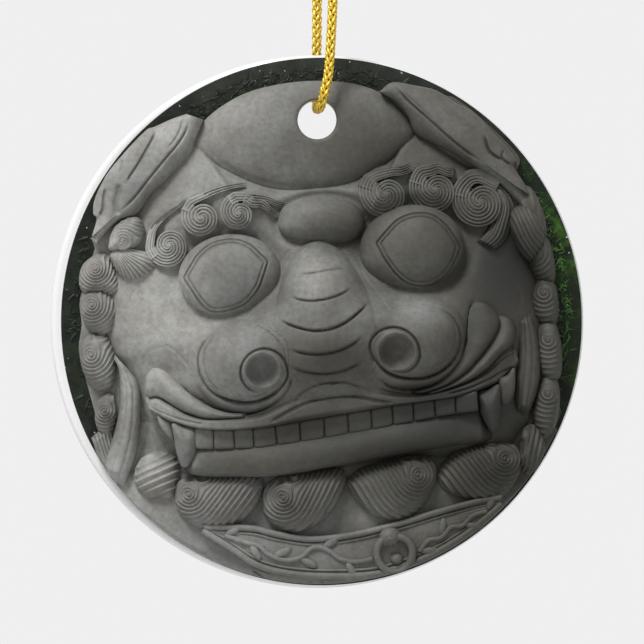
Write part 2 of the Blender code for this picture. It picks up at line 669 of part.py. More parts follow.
def build_knot(parts, cutters):
    """The knot that ties the cord's ends, with its two short tails."""
    bm = bmesh.new()
    bmesh.ops.create_uvsphere(bm, u_segments=16, v_segments=10, radius=1.0)
    half = Vector((KNOT_WIDTH / 2, KNOT_WIDTH / 2, KNOT_HEIGHT / 2)) * MM
    bmesh.ops.scale(bm, vec=half, verts=bm.verts)
    mesh = bpy.data.meshes.new("cord_knot")
    bm.to_mesh(mesh)
    bm.free()
    mesh.shade_smooth()
    height = KNOT_ABOVE_HANG + KNOT_HEIGHT / 2
    knot = add_object("cord_knot", mesh, Vector((0, 0, height)) * MM)
    for side in (-1, 1):
        start = Vector((side * CORD_DIAMETER / 2, 0, height))
        top = height + KNOT_HEIGHT / 2
        middle = Vector((side * TAIL_SPREAD / 2, side * TAIL_SPREAD / 6, top + 0.4 * TAIL_LENGTH))
        end = Vector((side * TAIL_SPREAD, side * TAIL_SPREAD / 2, top + TAIL_LENGTH))
        points = [point * MM for point in smooth_points([start, middle, end], CORD_STEP)]
        radii = [CORD_DIAMETER / 2 * MM] * len(points)
        tail = curve_to_mesh(tube_curve(f"tail_{side}", points, radii, points[0], 2))
        hide_cutter(tail, cutters)
        cut(knot, tail, "UNION")
    finish_piece(knot, GOLD, parts)
    return knot


def main():
    clear_scene()
    parts = new_collection("guardian_lion_ornament")
    cutters = new_collection("cutters")
    hole = cylinder("hole_cutter", HOLE_DIAMETER / 2, -CUTTER_REACH, CUTTER_REACH, HOLE_UP, 24)
    bpy.context.view_layer.update()
    ornament = [build_disc(parts, cutters, hole)] + build_relief(parts, cutters, hole)
    hide_cutter(hole, cutters)
    build_cord(parts)
    build_knot(parts, cutters)

    # The ornament rocks about the cord where it passes through the hole.
    pivot = bpy.data.objects.new("ornament_pivot", None)
    pivot.location = Vector((PIVOT_ACROSS, 0, -HANG_HEIGHT - cord_drop())) * MM
    parts.objects.link(pivot)
    bpy.context.view_layer.update()
    for piece in ornament:
        piece.parent = pivot
        piece.matrix_parent_inverse = pivot.matrix_world.inverted()


main()
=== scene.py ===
"""The looks of a round ceramic ornament on a gold cord, with a guardian lion's head in half relief.

A place on the relief is (across, up) in millimetres from the disc's centre, and out from its front face.
The disc hangs upright and faces along -Y, so across is +X and up is +Z.
"""

import math

import bpy
import numpy as np
from mathutils import Matrix, Vector


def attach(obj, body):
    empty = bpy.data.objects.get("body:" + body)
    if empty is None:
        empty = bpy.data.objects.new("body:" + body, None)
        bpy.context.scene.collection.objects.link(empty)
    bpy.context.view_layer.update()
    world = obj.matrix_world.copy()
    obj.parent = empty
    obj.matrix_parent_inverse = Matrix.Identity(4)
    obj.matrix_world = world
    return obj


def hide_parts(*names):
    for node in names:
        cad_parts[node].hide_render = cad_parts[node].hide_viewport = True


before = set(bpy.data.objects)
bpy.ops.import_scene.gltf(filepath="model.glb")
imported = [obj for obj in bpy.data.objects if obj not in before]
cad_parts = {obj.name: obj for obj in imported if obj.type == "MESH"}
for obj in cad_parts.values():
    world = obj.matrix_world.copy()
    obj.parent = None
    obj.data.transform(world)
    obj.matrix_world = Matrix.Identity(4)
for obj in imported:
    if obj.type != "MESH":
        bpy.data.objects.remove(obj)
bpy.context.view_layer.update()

MM = 0.001
TURN = 2 * math.pi

# Lengths are in millimetres. The backs of the pieces that stand on the plate lie at PIECE_FLOOR, inside it.
DISC_Z = -85.19
DISC_RADIUS = 36.5
DISC_THICKNESS = 4.0
DISC_EDGE_ROUND = 0.8
HOLE_UP = 27.54
HOLE_RADIUS = 2.65
CLEARANCE = 0.3
LOW_LEVEL = 1.6
FACE_RISE = 5.4
PIECE_FLOOR = 0.9

# The picture ends a little inside the disc's edge. What lies beyond PICTURE_EASE of the way out is squeezed
# into the rest of the way, the more gently the larger PICTURE_SOFT is. Leaves grow up to LEAF_EDGE of the way.
PICTURE_ACROSS = 0.6
PICTURE_HALF_WIDTH = 35.75
PICTURE_HALF_HEIGHT = 36.3
PICTURE_EASE = 0.97
PICTURE_SOFT = 0.025
GROUND_RADIUS = 36.9
LEAF_EDGE = 0.955

# The photograph shows this width of the disc's plane, and its middle lies here.
VIEW_WIDTH = 88.2
VIEW_ACROSS = 0.685
VIEW_UP = -0.07
CAMERA_DISTANCE = 1500.0
SENSOR_WIDTH = 36.0

# Edges sharper than this many degrees stay sharp on a piece.
SHARP_ANGLE = 62

# The cord's middle line, from the knot down the front, through the hole and up the back, in metres
CORD_ROUTE = [
    (0.0008, -0.0009, 0.0011), (0.0013, -0.0011, -0.0040), (0.0021, -0.0019, -0.0140),
    (0.0025, -0.0033, -0.0260), (0.0023, -0.0054, -0.0380), (0.0017, -0.00639, -0.0500),
    (0.00115, -0.00639, -0.0532), (0.00082, -0.0060, -0.05475), (0.00053, -0.0053, -0.05570),
    (0.00036, -0.0041, -0.05600), (0.0, 0.0035, -0.05602), (-0.00003, 0.0049, -0.05564),
    (-0.00007, 0.00592, -0.05462), (-0.0001, 0.0063, -0.05322), (-0.00005, 0.0063, -0.05019),
    (0.0, 0.0050, -0.0380), (-0.0002, 0.0032, -0.0260), (-0.0005, 0.0018, -0.0140), (-0.0007, 0.0011, -0.0040),
    (-0.0008, 0.0009, 0.0011),
]

# Closed outlines, as across and up
FACE_OUTLINE = [
    (-0.27, 18.83), (-5.07, 18.56), (-9.18, 19.65), (-13.97, 22.39), (-16.44, 24.86), (-17.94, 25.82),
    (-20.13, 23.21), (-22.87, 19.65), (-25.2, 16.23), (-26.71, 11.71), (-29.17, 8.15), (-29.86, 2.94),
    (-29.58, -1.85), (-28.08, -4.73), (-26.43, -6.09), (-24.79, -8.97), (-24.1, -12.26), (-22.87, -15.13),
    (-21.37, -17.87), (-18.49, -21.98), (-14.11, -23.35), (-9.18, -23.49), (0.41, -22.53), (11.37, -20.61),
    (18.9, -19.38), (24.65, -20.06), (27.94, -17.19), (30.13, -12.39), (30.68, -6.37), (31.36, -1.85),
    (30.68, 4.31), (29.31, 9.79), (28.1, 15.1), (25.3, 19.1), (19.0, 23.1), (13.6, 26.3), (11.1, 23.7), (7.5, 20.9),
    (4.1, 19.3),
]
LION_OUTLINE = [
    (-15.2, 27.0), (-12.6, 29.2), (-7.8, 31.5), (0.4, 32.6), (7.3, 31.4), (10.4, 32.0), (16.4, 31.0), (19.6, 30.2),
    (27.2, 23.2), (27.4, 20.5), (28.6, 18.0), (30.2, 14.3), (31.0, 8.8), (31.6, 4.2), (32.2, -3.9), (32.8, -10.8),
    (32.8, -14.0), (24.2, -27.2), (13.0, -34.0), (0.0, -36.2), (-13.0, -34.0), (-24.2, -27.2), (-29.2, -20.2),
    (-29.7, -17.6), (-29.8, -14.9), (-31.6, -8.0), (-32.6, -3.9), (-32.2, -0.5), (-32.5, 2.5), (-31.9, 5.0),
    (-31.5, 7.3), (-30.4, 9.8), (-30.8, 11.4), (-30.2, 13.9), (-30.6, 16.0), (-29.4, 19.5), (-27.0, 22.2),
    (-22.6, 26.0), (-18.0, 27.4),
]
FOREHEAD_OUTLINE = [
    (-16.85, 23.86), (-16.47, 25.8), (-15.4, 27.49), (-13.07, 29.43), (-9.68, 31.27), (-5.32, 32.44),
    (-0.47, 32.92), (4.37, 32.63), (8.25, 31.47), (11.16, 29.19), (12.85, 26.77), (13.1, 25.55), (12.03, 23.62),
    (9.7, 21.29), (6.31, 19.25), (1.46, 17.56), (-3.38, 17.22), (-7.74, 18.19), (-12.11, 20.22), (-15.26, 22.06),
]
NOSE_OUTLINE = [
    (-4.66, 8.7), (-3.42, 9.79), (0.14, 10.2), (3.7, 9.93), (5.34, 8.7), (6.71, 5.68), (9.18, 2.4), (9.72, -0.07),
    (8.49, -3.36), (7.81, -6.37), (5.34, -8.01), (0.68, -8.56), (-2.47, -8.01), (-3.7, -6.09), (-4.11, -2.81),
    (-6.44, -0.62), (-7.53, 2.12), (-6.44, 5.41),
]
KNOB_OUTLINE = [
    (-5.34, 13.22), (-4.66, 15.54), (-2.33, 16.78), (0.27, 17.19), (3.42, 16.78), (5.62, 15.54), (6.44, 13.76),
    (5.62, 11.71), (3.42, 10.61), (0.14, 10.34), (-3.01, 11.03), (-4.66, 11.98),
]

# Carved double lines round each eye's lens
LEFT_LENS = [
    (-18.12, 5.88), (-17.9, 6.42), (-17.2, 7.62), (-16.25, 9.12), (-14.54, 10.55), (-12.55, 11.14), (-10.84, 11.14),
    (-8.99, 10.4), (-7.55, 9.05), (-6.9, 8.42), (-6.7, 8.05), (-6.86, 7.55), (-7.35, 6.1), (-8.05, 4.43),
    (-9.7, 2.5), (-11.98, 1.53), (-14.25, 1.36), (-15.68, 2.3), (-16.96, 4.05), (-17.88, 5.38),
]
RIGHT_LENS = [
    (8.12, 10.58), (8.44, 11.1), (9.33, 12.15), (10.76, 13.65), (12.46, 14.51), (14.17, 14.76), (15.88, 14.45),
    (17.58, 13.14), (18.78, 11.5), (19.32, 10.58), (19.55, 10.08), (19.34, 9.52), (18.7, 8.02), (17.44, 6.17),
    (15.88, 5.12), (14.31, 4.84), (12.46, 5.18), (10.76, 6.46), (9.2, 8.55), (8.38, 10.05),
]


class Lump:
    """A tilted ellipsoid on the relief; wide, tall and deep are half sizes."""

    def __init__(self, across, up, out, wide, tall, deep, tilt=0.0, taper=0.0):
        self.across, self.up, self.out = across, up, out
        self.wide, self.tall, self.deep = wide, tall, deep
        self.tilt, self.taper = math.radians(tilt), taper

    def radius(self, x, z):
        """How far a place lies from the middle, where 1 is the lump's edge."""
        dx, dz = x - self.across, z - self.up
        v = (dz * math.cos(self.tilt) - dx * math.sin(self.tilt)) / self.tall
        u = (dx * math.cos(self.tilt) + dz * math.sin(self.tilt)) / self.wide
        return np.hypot(u / np.maximum(1 + self.taper * v, 0.3), v)

    def height(self, x, z):
        """The lump's surface, and past its edge a steep slope down."""
        r = self.radius(x, z)
        return self.out + self.deep * (np.sqrt(np.clip(1 - r * r, 0, 1)) - 1.5 * np.clip(r - 1, 0, None))

    def bump(self, x, z):
        """A soft rise of 1 at the middle that fades to 0 at the edge."""
        return np.clip(1 - self.radius(x, z) ** 2, 0, None) ** 2


BROW_KNOB = Lump(0.6, 13.8, 4.6, 5.9, 3.3, 4.0, 3.0)
LEFT_EYE = Lump(-11.9, 6.3, 5.2, 7.0, 5.6, 4.2, 8.0)
RIGHT_EYE = Lump(12.9, 10.1, 5.2, 7.1, 5.8, 4.2, 8.0)
NOSE_BRIDGE = Lump(0.9, 0.6, 5.6, 6.8, 10.6, 7.9, 5.0, -0.22)
LEFT_WING = Lump(-10.2, -5.2, 5.6, 6.4, 5.4, 6.2, 12.0)
RIGHT_WING = Lump(13.6, -2.2, 5.6, 6.8, 5.4, 6.0, 14.0)
FOREHEAD = Lump(-1.4, 24.8, LOW_LEVEL, 15.0, 7.9, 3.4, 5.0)


# Curves and distances


def smooth_curve(points, count, closed=False, parts=12, axes=2):
    """Points on a smooth curve through the given ones, evenly spaced by the distance over the first axes."""
    points = np.asarray(points, float)
    if closed:
        ends = np.vstack([points[-1:], points, points[:2]])
    else:
        ends = np.vstack([2 * points[:1] - points[1:2], points, 2 * points[-1:] - points[-2:-1]])
    t = np.linspace(0, 1, parts, endpoint=False)[:, None]
    found = []
    for before, start, end, after in zip(ends, ends[1:], ends[2:], ends[3:]):
        found.append(
            start
            + 0.5 * t * (end - before)
            + t * t * (before - 2.5 * start + 2 * end - 0.5 * after)
            + t * t * t * (1.5 * (start - end) + 0.5 * (after - before))
        )
    line = np.vstack([*found, points[:1] if closed else points[-1:]])
    along = np.concatenate([[0], np.cumsum(np.linalg.norm(np.diff(line[:, :axes], axis=0), axis=1))])
    at = np.linspace(0, along[-1], count, endpoint=not closed)
    return np.stack([np.interp(at, along, column) for column in line.T], axis=1)


def turned_left(outline):
    """The outline, running counterclockwise as seen from the front."""
    x, z = np.asarray(outline, float).T
    area = np.sum(x * np.roll(z, -1) - np.roll(x, -1) * z)
    return np.asarray(outline, float)[:: 1 if area > 0 else -1]


def outline_radius(outline, centre, angle, samples=720):
    """How far a star-shaped outline is from its centre, by the angle."""
    rim = smooth_curve(turned_left(outline), samples, closed=True) - centre
    angles = np.arctan2(rim[:, 1], rim[:, 0])
    order = np.argsort(angles)
    return np.interp(angle, angles[order], np.hypot(rim[:, 0], rim[:, 1])[order], period=TURN)


def full_turn(count):
    """Angles evenly spaced round a full turn."""
    return np.linspace(0, TURN, count, endpoint=False)


def on_circle(turns):
    """Points on a circle of radius 1."""
    return np.stack([np.cos(turns), np.sin(turns)], axis=1)


def share_out(outline, centre, x, z):
    """How far a place lies from the centre towards a star-shaped outline, where 1 is the outline."""
    dx, dz = x - centre[0], z - centre[1]
    return np.hypot(dx, dz) / outline_radius(outline, centre, np.arctan2(dz, dx))


def share_in(outline, centre, x, z):
    """The same inside the outline, and 1 beyond it."""
    return np.clip(share_out(outline, centre, x, z), 0, 1)


def from_line(line, x, z):
    """Each place's distance from a line, its share along it, and 1 on the line's left or -1 on its right."""
    best = np.full(x.shape, 1e9)
    along = np.zeros(x.shape)
    side = np.ones(x.shape)
    for i, (start, end) in enumerate(zip(line, line[1:])):
        d = end - start
        dx, dz = x - start[0], z - start[1]
        t = np.clip((dx * d[0] + dz * d[1]) / (d @ d), 0, 1)
        far = np.hypot(dx - t * d[0], dz - t * d[1])
        nearer = far < best
        best = np.where(nearer, far, best)
        along = np.where(nearer, (i + t) / (len(line) - 1), along)
        side = np.where(nearer, np.sign(d[0] * dz - d[1] * dx), side)
    return best, along, side


def smoothstep(t):
    t = np.clip(t, 0, 1)
    return t * t * (3 - 2 * t)


def soft_max(a, b, softness):
    return 0.5 * (a + b + np.sqrt((a - b) ** 2 + softness * softness))


def dome(share, power=2.2):
    """A rounded height of 1 at the middle that is still a little above 0 at the edge."""
    return np.sqrt(1 - 0.985 * share**power)


def both_ends(u, first, last=None):
    """A value that is 1 along the middle and 0 at both ends."""
    return smoothstep(u / first) * smoothstep((1 - u) / (last or first))


def hollow_mark(out, value=0.0):
    """The mark of painted shade that darkens a surface, with one value all over it."""
    return {"hollow": np.full_like(out, value)}


class Groove:
    """A line carved into the relief. Where it has a lift, the surface on its left swells over it like a fold."""

    def __init__(self, points, width, depth, lift=0.0, reach=1.6, fade=0.16, closed=False):
        self.line = smooth_curve(points, 120 if closed else 56, closed)
        if closed:
            self.line = np.vstack([self.line, self.line[:1]])
        self.width, self.depth, self.lift, self.reach = width, depth, lift, reach
        self.closed, self.fade = closed, fade

    def cut(self, x, z, out, hollow):
        """Carves the line into out and marks its bottom in hollow, for painted shade with some grime, both in
        place.
        """
        margin = 3 * max(self.width, self.reach if self.lift else 0)
        low, high = self.line.min(0) - margin, self.line.max(0) + margin
        close = (x > low[0]) & (x < high[0]) & (z > low[1]) & (z < high[1])
        if not close.any():
            return
        far, along, side = from_line(self.line, x[close], z[close])
        ends = 1.0 if self.closed else both_ends(along, self.fade)
        valley = ends * np.exp(-((far / self.width) ** 2))
        rise = ends * self.lift * np.where(side > 0, np.exp(-far / self.reach), 0) * smoothstep(far / self.width)
        out[close] += rise - self.depth * valley
        # Painted shade, with some grime, along the groove's bottom, stronger for deep and narrow grooves.
        darkening = min(1, self.depth / 0.28) * min(1, 0.2 / self.width)
        hollow[close] = np.maximum(hollow[close], darkening * valley)


def cut_lines(grooves, x, z, out, hollow=0.0):
    """A surface with lines carved into it, as its out and its marks."""
    hollow = np.zeros_like(out) + hollow
    for groove in grooves:
        groove.cut(x, z, out, hollow)
    return out, {"hollow": hollow}


# The head's surface, which the face, the nose and its wings share

FACE_CENTRE = np.array((-0.27, 0.21))
# Broad swells and hollows of the head, each with its rise
HEAD_SWELLS = [
    (Lump(1.5, -3.5, 0, 25.0, 11.0, 0, 7.0), 3.2),
    (Lump(1.5, -9.5, 0, 27.0, 8.5, 0, 5.0), 1.2),
    (Lump(-23.0, 0.5, 0, 10.0, 13.0, 0), 1.2),
    (Lump(24.0, 3.0, 0, 9.0, 12.0, 0), 1.2),
    (Lump(0.0, 18.5, 0, 23.0, 6.5, 0), 1.2),
    (Lump(-19.6, -2.9, 0, 5.2, 4.2, 0, -20.0), 0.9),
    (Lump(14.6, -2.2, 0, 11.0, 8.2, 0, 8.0), 1.9),
    (Lump(-10.2, -5.0, 0, 10.0, 8.2, 0, 16.0), 1.9),
    (Lump(1.2, -3.0, 0, 12.0, 10.0, 0, 5.0), 1.9),
    (Lump(8.2, 0.4, 0, 6.0, 4.6, 0, 5.0), 1.3),
    (Lump(-6.6, -0.6, 0, 5.6, 4.6, 0, 5.0), 1.2),
    (Lump(7.2, 2.6, 0, 4.8, 5.4, 0, 5.0), 1.5),
    (Lump(-5.8, 2.0, 0, 4.4, 5.0, 0, 5.0), 1.1),
    (Lump(2.5, -14.6, 0, 25.0, 4.2, 0, 7.0), -1.3),
    (Lump(3.2, -5.5, 0, 5.5, 3.4, 0, 5.0), -0.5),
]
# The middles of the nostrils' holes
LEFT_HOLE = np.array((-7.45, -6.65))
RIGHT_HOLE = np.array((10.88, -4.12))
# Each raised band that curls round a nostril, its half width and its rise
BANDS = [
    ([
        (-15.86, -6.43), (-15.6, -8.58), (-13.71, -10.7), (-11.18, -11.74), (-8.33, -11.74), (-5.8, -10.67),
        (-4.22, -8.83), (-3.72, -6.81),
    ], 0.75, 0.75),
    ([
        (7.72, -5.17), (8.67, -7.13), (10.47, -8.08), (12.84, -8.45), (15.69, -8.08), (18.22, -6.62),
        (19.86, -4.54), (20.3, -2.32),
    ], 0.7, 0.7),
]
# Lines carved in the head: points, width, depth, the lift and reach of the fold beside it, and the fade
HEAD_LINES = [
    # Wrinkles across the nose
    ([(-2.01, 8.49), (0.2, 8.99), (3.04, 9.24)], 0.12, 0.07),
    ([(-2.58, 6.46), (-0.43, 6.59), (1.78, 7.0), (4.06, 7.22)], 0.13, 0.22),
    ([(-3.97, 3.52), (-2.33, 2.96), (-0.43, 2.8), (1.78, 3.18), (3.52, 3.84), (5.0, 4.76)], 0.17, 0.24, 0.28),
    ([
        (-5.55, 0.36), (-3.59, -0.49), (-1.38, -1.12), (0.52, -1.22), (2.73, -0.68), (4.78, 0.52), (7.53, 2.92),
    ], 0.19, 0.32, 0.4, 1.8),
    ([(-3.91, -3.78), (-2.01, -4.28), (0.2, -4.44), (2.73, -4.03), (4.78, -3.08), (6.46, -1.88)], 0.18, 0.3, 0.35),
    ([(-3.91, -6.12), (-1.7, -6.81), (0.99, -7.1), (3.68, -6.65), (6.52, -5.36)], 0.18, 0.28, 0.3, 1.4),
    # The spiral that draws each nostril's wing and runs in round its hole
    ([
        (-14.28, -1.56), (-15.67, -3.21), (-16.3, -5.17), (-15.86, -7.44), (-14.65, -9.28), (-12.57, -10.48),
        (-9.6, -11.01), (-7.07, -10.48), (-5.17, -9.28), (-3.97, -7.44), (-4.29, -5.55), (-5.49, -4.22),
        (-7.32, -3.71), (-9.16, -4.47), (-10.29, -6.18), (-10.17, -8.01), (-8.9, -9.4), (-7.2, -9.53),
    ], 0.17, 0.42, 0.0, 1.0, 0.06),
    ([
        (16.26, 1.85), (18.15, 0.96), (19.42, -1.06), (19.54, -3.4), (18.15, -5.74), (15.75, -7.38), (12.84, -7.76),
        (10.0, -7.13), (7.98, -5.36), (7.15, -3.27), (8.16, -1.56), (10.16, -0.81), (12.15, -1.31), (13.6, -2.83),
        (13.98, -4.73), (12.97, -6.43), (11.26, -6.94), (9.56, -6.43),
    ], 0.17, 0.42, 0.0, 1.0, 0.06),
    ([
        (-13.71, -1.75), (-15.03, -3.27), (-15.48, -5.17), (-14.97, -7.44), (-14.02, -8.83), (-12.57, -9.78),
    ], 0.12, 0.14),
    ([(16.95, 1.41), (18.53, -0.11), (18.85, -2.32), (18.09, -4.41), (16.64, -6.12)], 0.12, 0.12),
    # The bands' outer edges
    ([
        (-19.08, -8.71), (-16.87, -10.1), (-14.97, -11.24), (-12.76, -12.31), (-10.23, -12.69), (-7.7, -12.18),
        (-5.49, -10.92), (-3.91, -9.28), (-3.4, -7.19),
    ], 0.17, 0.4, 0.0, 1.0, 0.06),
    ([
        (8.48, -7.7), (9.84, -8.83), (11.89, -9.4), (14.42, -9.34), (16.95, -8.58), (19.16, -7.13), (20.43, -5.17),
        (20.55, -2.32), (20.62, 0.52), (21.12, 2.42), (22.07, 3.3),
    ], 0.17, 0.4, 0.0, 1.0, 0.06),
    # The fold over the middle of the upper lip
    ([
        (-3.11, -10.6), (-1.64, -9.45), (0.07, -8.63), (1.78, -8.32), (4.05, -8.35), (6.33, -9.23), (8.08, -10.2),
        (9.27, -10.82),
    ], 0.17, 0.36, 0.0, 1.0, 0.08),
    # Faint marks on the cheeks
    ([
        (-24.78, 4.37), (-23.98, 3.86), (-24.1, 2.72), (-24.84, 2.15), (-25.41, 2.78), (-25.35, 3.8),
    ], 0.12, 0.1, 0.0, 1.0, 0.05, True),
    ([(-26.36, 1.45), (-25.86, -0.54), (-24.12, -1.79), (-21.63, -1.54)], 0.16, 0.08),
    ([
        (-23.72, -6.62), (-23.52, -4.77), (-22.13, -3.53), (-19.88, -3.53), (-18.04, -5.27), (-16.75, -7.51),
    ], 0.2, 0.1),
    ([(25.65, 5.4), (27.3, 4.69), (27.87, 2.8), (26.83, 1.38)], 0.16, 0.08),
    ([(29.67, 2.32), (30.52, -0.04), (30.71, -2.88), (30.14, -6.19)], 0.2, 0.14),
]
HEAD_GROOVES = [Groove(*line) for line in HEAD_LINES]
BAND_LINES = [(smooth_curve(points, 40), width, rise) for points, width, rise in BANDS]


def near(value, peak, width):
    """1 where a value is at its peak, and a soft fall to 0 on either side."""
    return np.exp(-(((value - peak) / width) ** 2))


def above(lump, x, z, low, high):
    """A value that grows from low to high between a lump's lower left and its upper right."""
    turn = np.arctan2(z - lump.up, x - lump.across) - math.radians(65)
    return low + (high - low) * (0.5 + 0.5 * np.cos(turn))


def head_form(x, z):
    """The smooth form of the head, without its carved lines."""
    out = LOW_LEVEL + FACE_RISE * np.sqrt(1 - share_in(FACE_OUTLINE, FACE_CENTRE, x, z) ** 2.6)
    for lump, rise in HEAD_SWELLS:
        out = out + rise * lump.bump(x, z)
    for eye in (LEFT_EYE, RIGHT_EYE):
        out = out - above(eye, x, z, 0.55, 1.1) * near(eye.radius(x, z), 1.02, 0.22)
    out = out - 0.9 * near(BROW_KNOB.radius(x, z), 1.04, 0.2)
    out = soft_max(out, NOSE_BRIDGE.height(x, z), 3.8) - 0.6
    out = soft_max(out, LEFT_WING.height(x, z), 3.0) - 0.5
    out = soft_max(out, RIGHT_WING.height(x, z), 3.0) - 0.5
    return out


def head_surface(x, z):
    """The head's out and marks, with its bands, nostrils and carved lines."""
    out = head_form(x, z)
    hollow = np.zeros_like(out)
    for line, width, rise in BAND_LINES:
        far, along, _ = from_line(line, x, z)
        out = out + rise * both_ends(along, 0.2) * np.clip(1 - (far / width) ** 2, 0, None) ** 0.7
    for (hx, hz), radius in ((LEFT_HOLE, 2.25), (RIGHT_HOLE, 2.4)):
        r = np.hypot(x - hx, z - hz)
        out = out - 2.3 * np.clip(1 - (r / radius) ** 2, 0, None)
        out = out + 0.3 * near(r - radius, 0.25, 0.3)
        # Painted shadow inside each nostril, darkest at its upper left.
        shade = np.clip(0.34 + 0.42 * (0.6 * (z - hz) - 0.8 * (x - hx)) / radius, 0, 1)
        hollow = np.maximum(hollow, shade * smoothstep((1.05 - r / radius) / 0.25))
    for groove in HEAD_GROOVES:
        groove.cut(x, z, out, hollow)
    # A ring of painted shade round each eye and the brow knob, darkest at its upper right.
    for lump, width in ((LEFT_EYE, 0.08), (RIGHT_EYE, 0.08), (BROW_KNOB, 0.09)):
        darkening = above(lump, x, z, 0.10, 0.60)
        hollow = np.maximum(hollow, darkening * near(lump.radius(x, z), 1.02, width))
    # A ring of painted shade round each rolled curl.
    for coil, _, _ in ROLLED.values():
        r = np.hypot(x - coil.centre[0], z - coil.centre[1]) / coil.radius
        hollow = np.maximum(hollow, 0.24 * near(r, 1.0, 0.12))
    return out, {"hollow": hollow}


# Meshes


def grid_quads(rows, columns, closed):
    """Corner numbers of the quads of a grid, whose columns may close into a ring."""
    i, j = np.meshgrid(np.arange(rows - 1), np.arange(columns if closed else columns - 1), indexing="ij")
    k = (j + 1) % columns
    after = (i + 1) * columns
    return np.stack([i * columns + j, after + j, after + k, i * columns + k], -1).reshape(-1, 4)


def shell(x, z, out, faces, **marks):
    """A closed part of a piece: its points, its faces, and what is marked on its points."""
    return {"points": np.stack([x, z, out], axis=1), "faces": faces, "marks": marks}


def backed_shell(front, back, out, marks, floor, faces):
    """A shell of front points with their out and marks, and of back points that all lie at one level."""
    marks = {name: np.concatenate([value, np.zeros(len(back))]) for name, value in marks.items()}
    out = np.concatenate([out, np.full(len(back), floor)])
    return shell(*np.vstack([front, back]).T, out, faces, **marks)


def star_shell(outline, centre, surface, rings, spokes, floor):
    """A closed shell over rings about a centre, with a wall and a flat back. surface gives out and the marks."""
    centre = np.asarray(centre, float)
    rim = smooth_curve(turned_left(outline), spokes, closed=True)
    share = np.linspace(0, 1, rings + 1)[1:]
    share = share * (1 + 0.45 * (1 - share))
    grid = (centre + share[:, None, None] * (rim - centre)).reshape(-1, 2)
    flat = np.vstack([centre[None], grid])
    last = 1 + (rings - 1) * spokes
    skirt = 1 + rings * spokes
    j = np.arange(spokes)
    k = (j + 1) % spokes
    faces = np.stack([np.zeros(spokes, int), 1 + j, 1 + k], -1).tolist()
    faces += (grid_quads(rings, spokes, True) + 1).tolist()
    faces += np.stack([last + k, last + j, skirt + j, skirt + k], -1).tolist()
    faces += np.stack([np.full(spokes, skirt + spokes), skirt + k, skirt + j], -1).tolist()
    return backed_shell(flat, np.vstack([rim, centre[None]]), *surface(flat[:, 0], flat[:, 1]), floor, faces)


def loft_shell(first, second, surface, across, floor):
    """A closed shell between two edge lines. surface takes x, z and the shares along and across."""
    count = len(first)
    v = np.linspace(0, 1, across + 1)
    grid = first[:, None] * (1 - v)[None, :, None] + second[:, None] * v[None, :, None]
    flat = grid.reshape(-1, 2)
    u = np.repeat(np.linspace(0, 1, count), across + 1)
    m = across + 1
    base = count * m
    faces = grid_quads(count, m, False)
    i = np.arange(count - 1)
    walls = [
        np.stack([(i + 1) * m, i * m, base + 2 * i, base + 2 * i + 2], -1),
        np.stack([i * m + across, (i + 1) * m + across, base + 2 * i + 3, base + 2 * i + 1], -1),
        np.stack([base + 2 * i + 2, base + 2 * i, base + 2 * i + 1, base + 2 * i + 3], -1),
    ]
    faces = np.vstack([faces, *walls]).tolist()
    faces.append(list(range(m)) + [base + 1, base])
    faces.append([base + 2 * count - 2, base + 2 * count - 1] + list(range(base - 1, base - 1 - m, -1)))
    back = np.stack([first, second], 1).reshape(-1, 2)
    middle = (count // 2) * m + across // 2
    a, b, c = (flat[middle + n] for n in (0, m, 1))
    if np.cross(b - a, c - a) < 0:
        faces = [face[::-1] for face in faces]
    return backed_shell(flat, back, *surface(*flat.T, u, np.tile(v, count)), floor, faces)


def inside_picture(across, up):
    """Draws what lies at the edge of the printed round gently inside it."""
    reach = np.hypot((across - PICTURE_ACROSS) / PICTURE_HALF_WIDTH, up / PICTURE_HALF_HEIGHT)
    beyond = np.clip(reach - PICTURE_EASE, 0, None)
    eased = PICTURE_EASE + (1 - PICTURE_EASE) * (1 - np.exp(-beyond / PICTURE_SOFT))
    kept = np.where(beyond > 0, eased, reach)
    share = kept / np.maximum(reach, 1e-6)
    return PICTURE_ACROSS + (across - PICTURE_ACROSS) * share, up * share


def mesh_of(name, shells, surfaces):
    """One mesh object of several shells, with its marks as attributes."""
    points, faces, shift = [], [], 0
    names = sorted({mark for part in shells for mark in part["marks"]})
    marks = {mark: [] for mark in names}
    for part in shells:
        count = len(part["points"])
        points.append(part["points"])
        faces += [[corner + shift for corner in face] for face in part["faces"]]
        for mark in names:
            marks[mark].append(part["marks"].get(mark, np.zeros(count)))
        shift += count
    across, up, out = np.vstack(points).T
    across, up = inside_picture(across, up)
    place = np.stack([across, -out, DISC_Z + up], axis=1) * MM
    mesh = bpy.data.meshes.new(name)
    mesh.from_pydata(place.tolist(), [], faces)
    for mark, values in marks.items():
        stored = mesh.attributes.new(mark, "FLOAT", "POINT").data
        stored.foreach_set("value", np.concatenate(values).astype(np.float32))
    for surface in surfaces:
        mesh.materials.append(surface)
    mesh.shade_smooth()
    mesh.set_sharp_from_angle(angle=math.radians(SHARP_ANGLE))
    return linked(name, mesh)


def linked(name, data):
    """A new object in the scene."""
    item = bpy.data.objects.new(name, data)
    bpy.context.scene.collection.objects.link(item)
    return item


def finished_mesh(item, name):
    """Replaces an object by its evaluated mesh."""
    graph = bpy.context.evaluated_depsgraph_get()
    mesh = bpy.data.meshes.new_from_object(item.evaluated_get(graph))
    bpy.data.objects.remove(item, do_unlink=True)
    mesh.name = name
    return mesh


def settle(item, nodes, body="ornament"):
    """Hands a finished piece to the body that it moves with."""
    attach(item, body)
    if nodes:
        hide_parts(*nodes)


def settle_skin(name, *shells):
    """A piece in smooth stone glaze."""
    settle(mesh_of(name, shells, [SKIN]), [name])


def settle_stone(name, *shells):
    """A piece in carved stone glaze."""
    settle(mesh_of(name, shells, [STONE]), [name])


# Materials


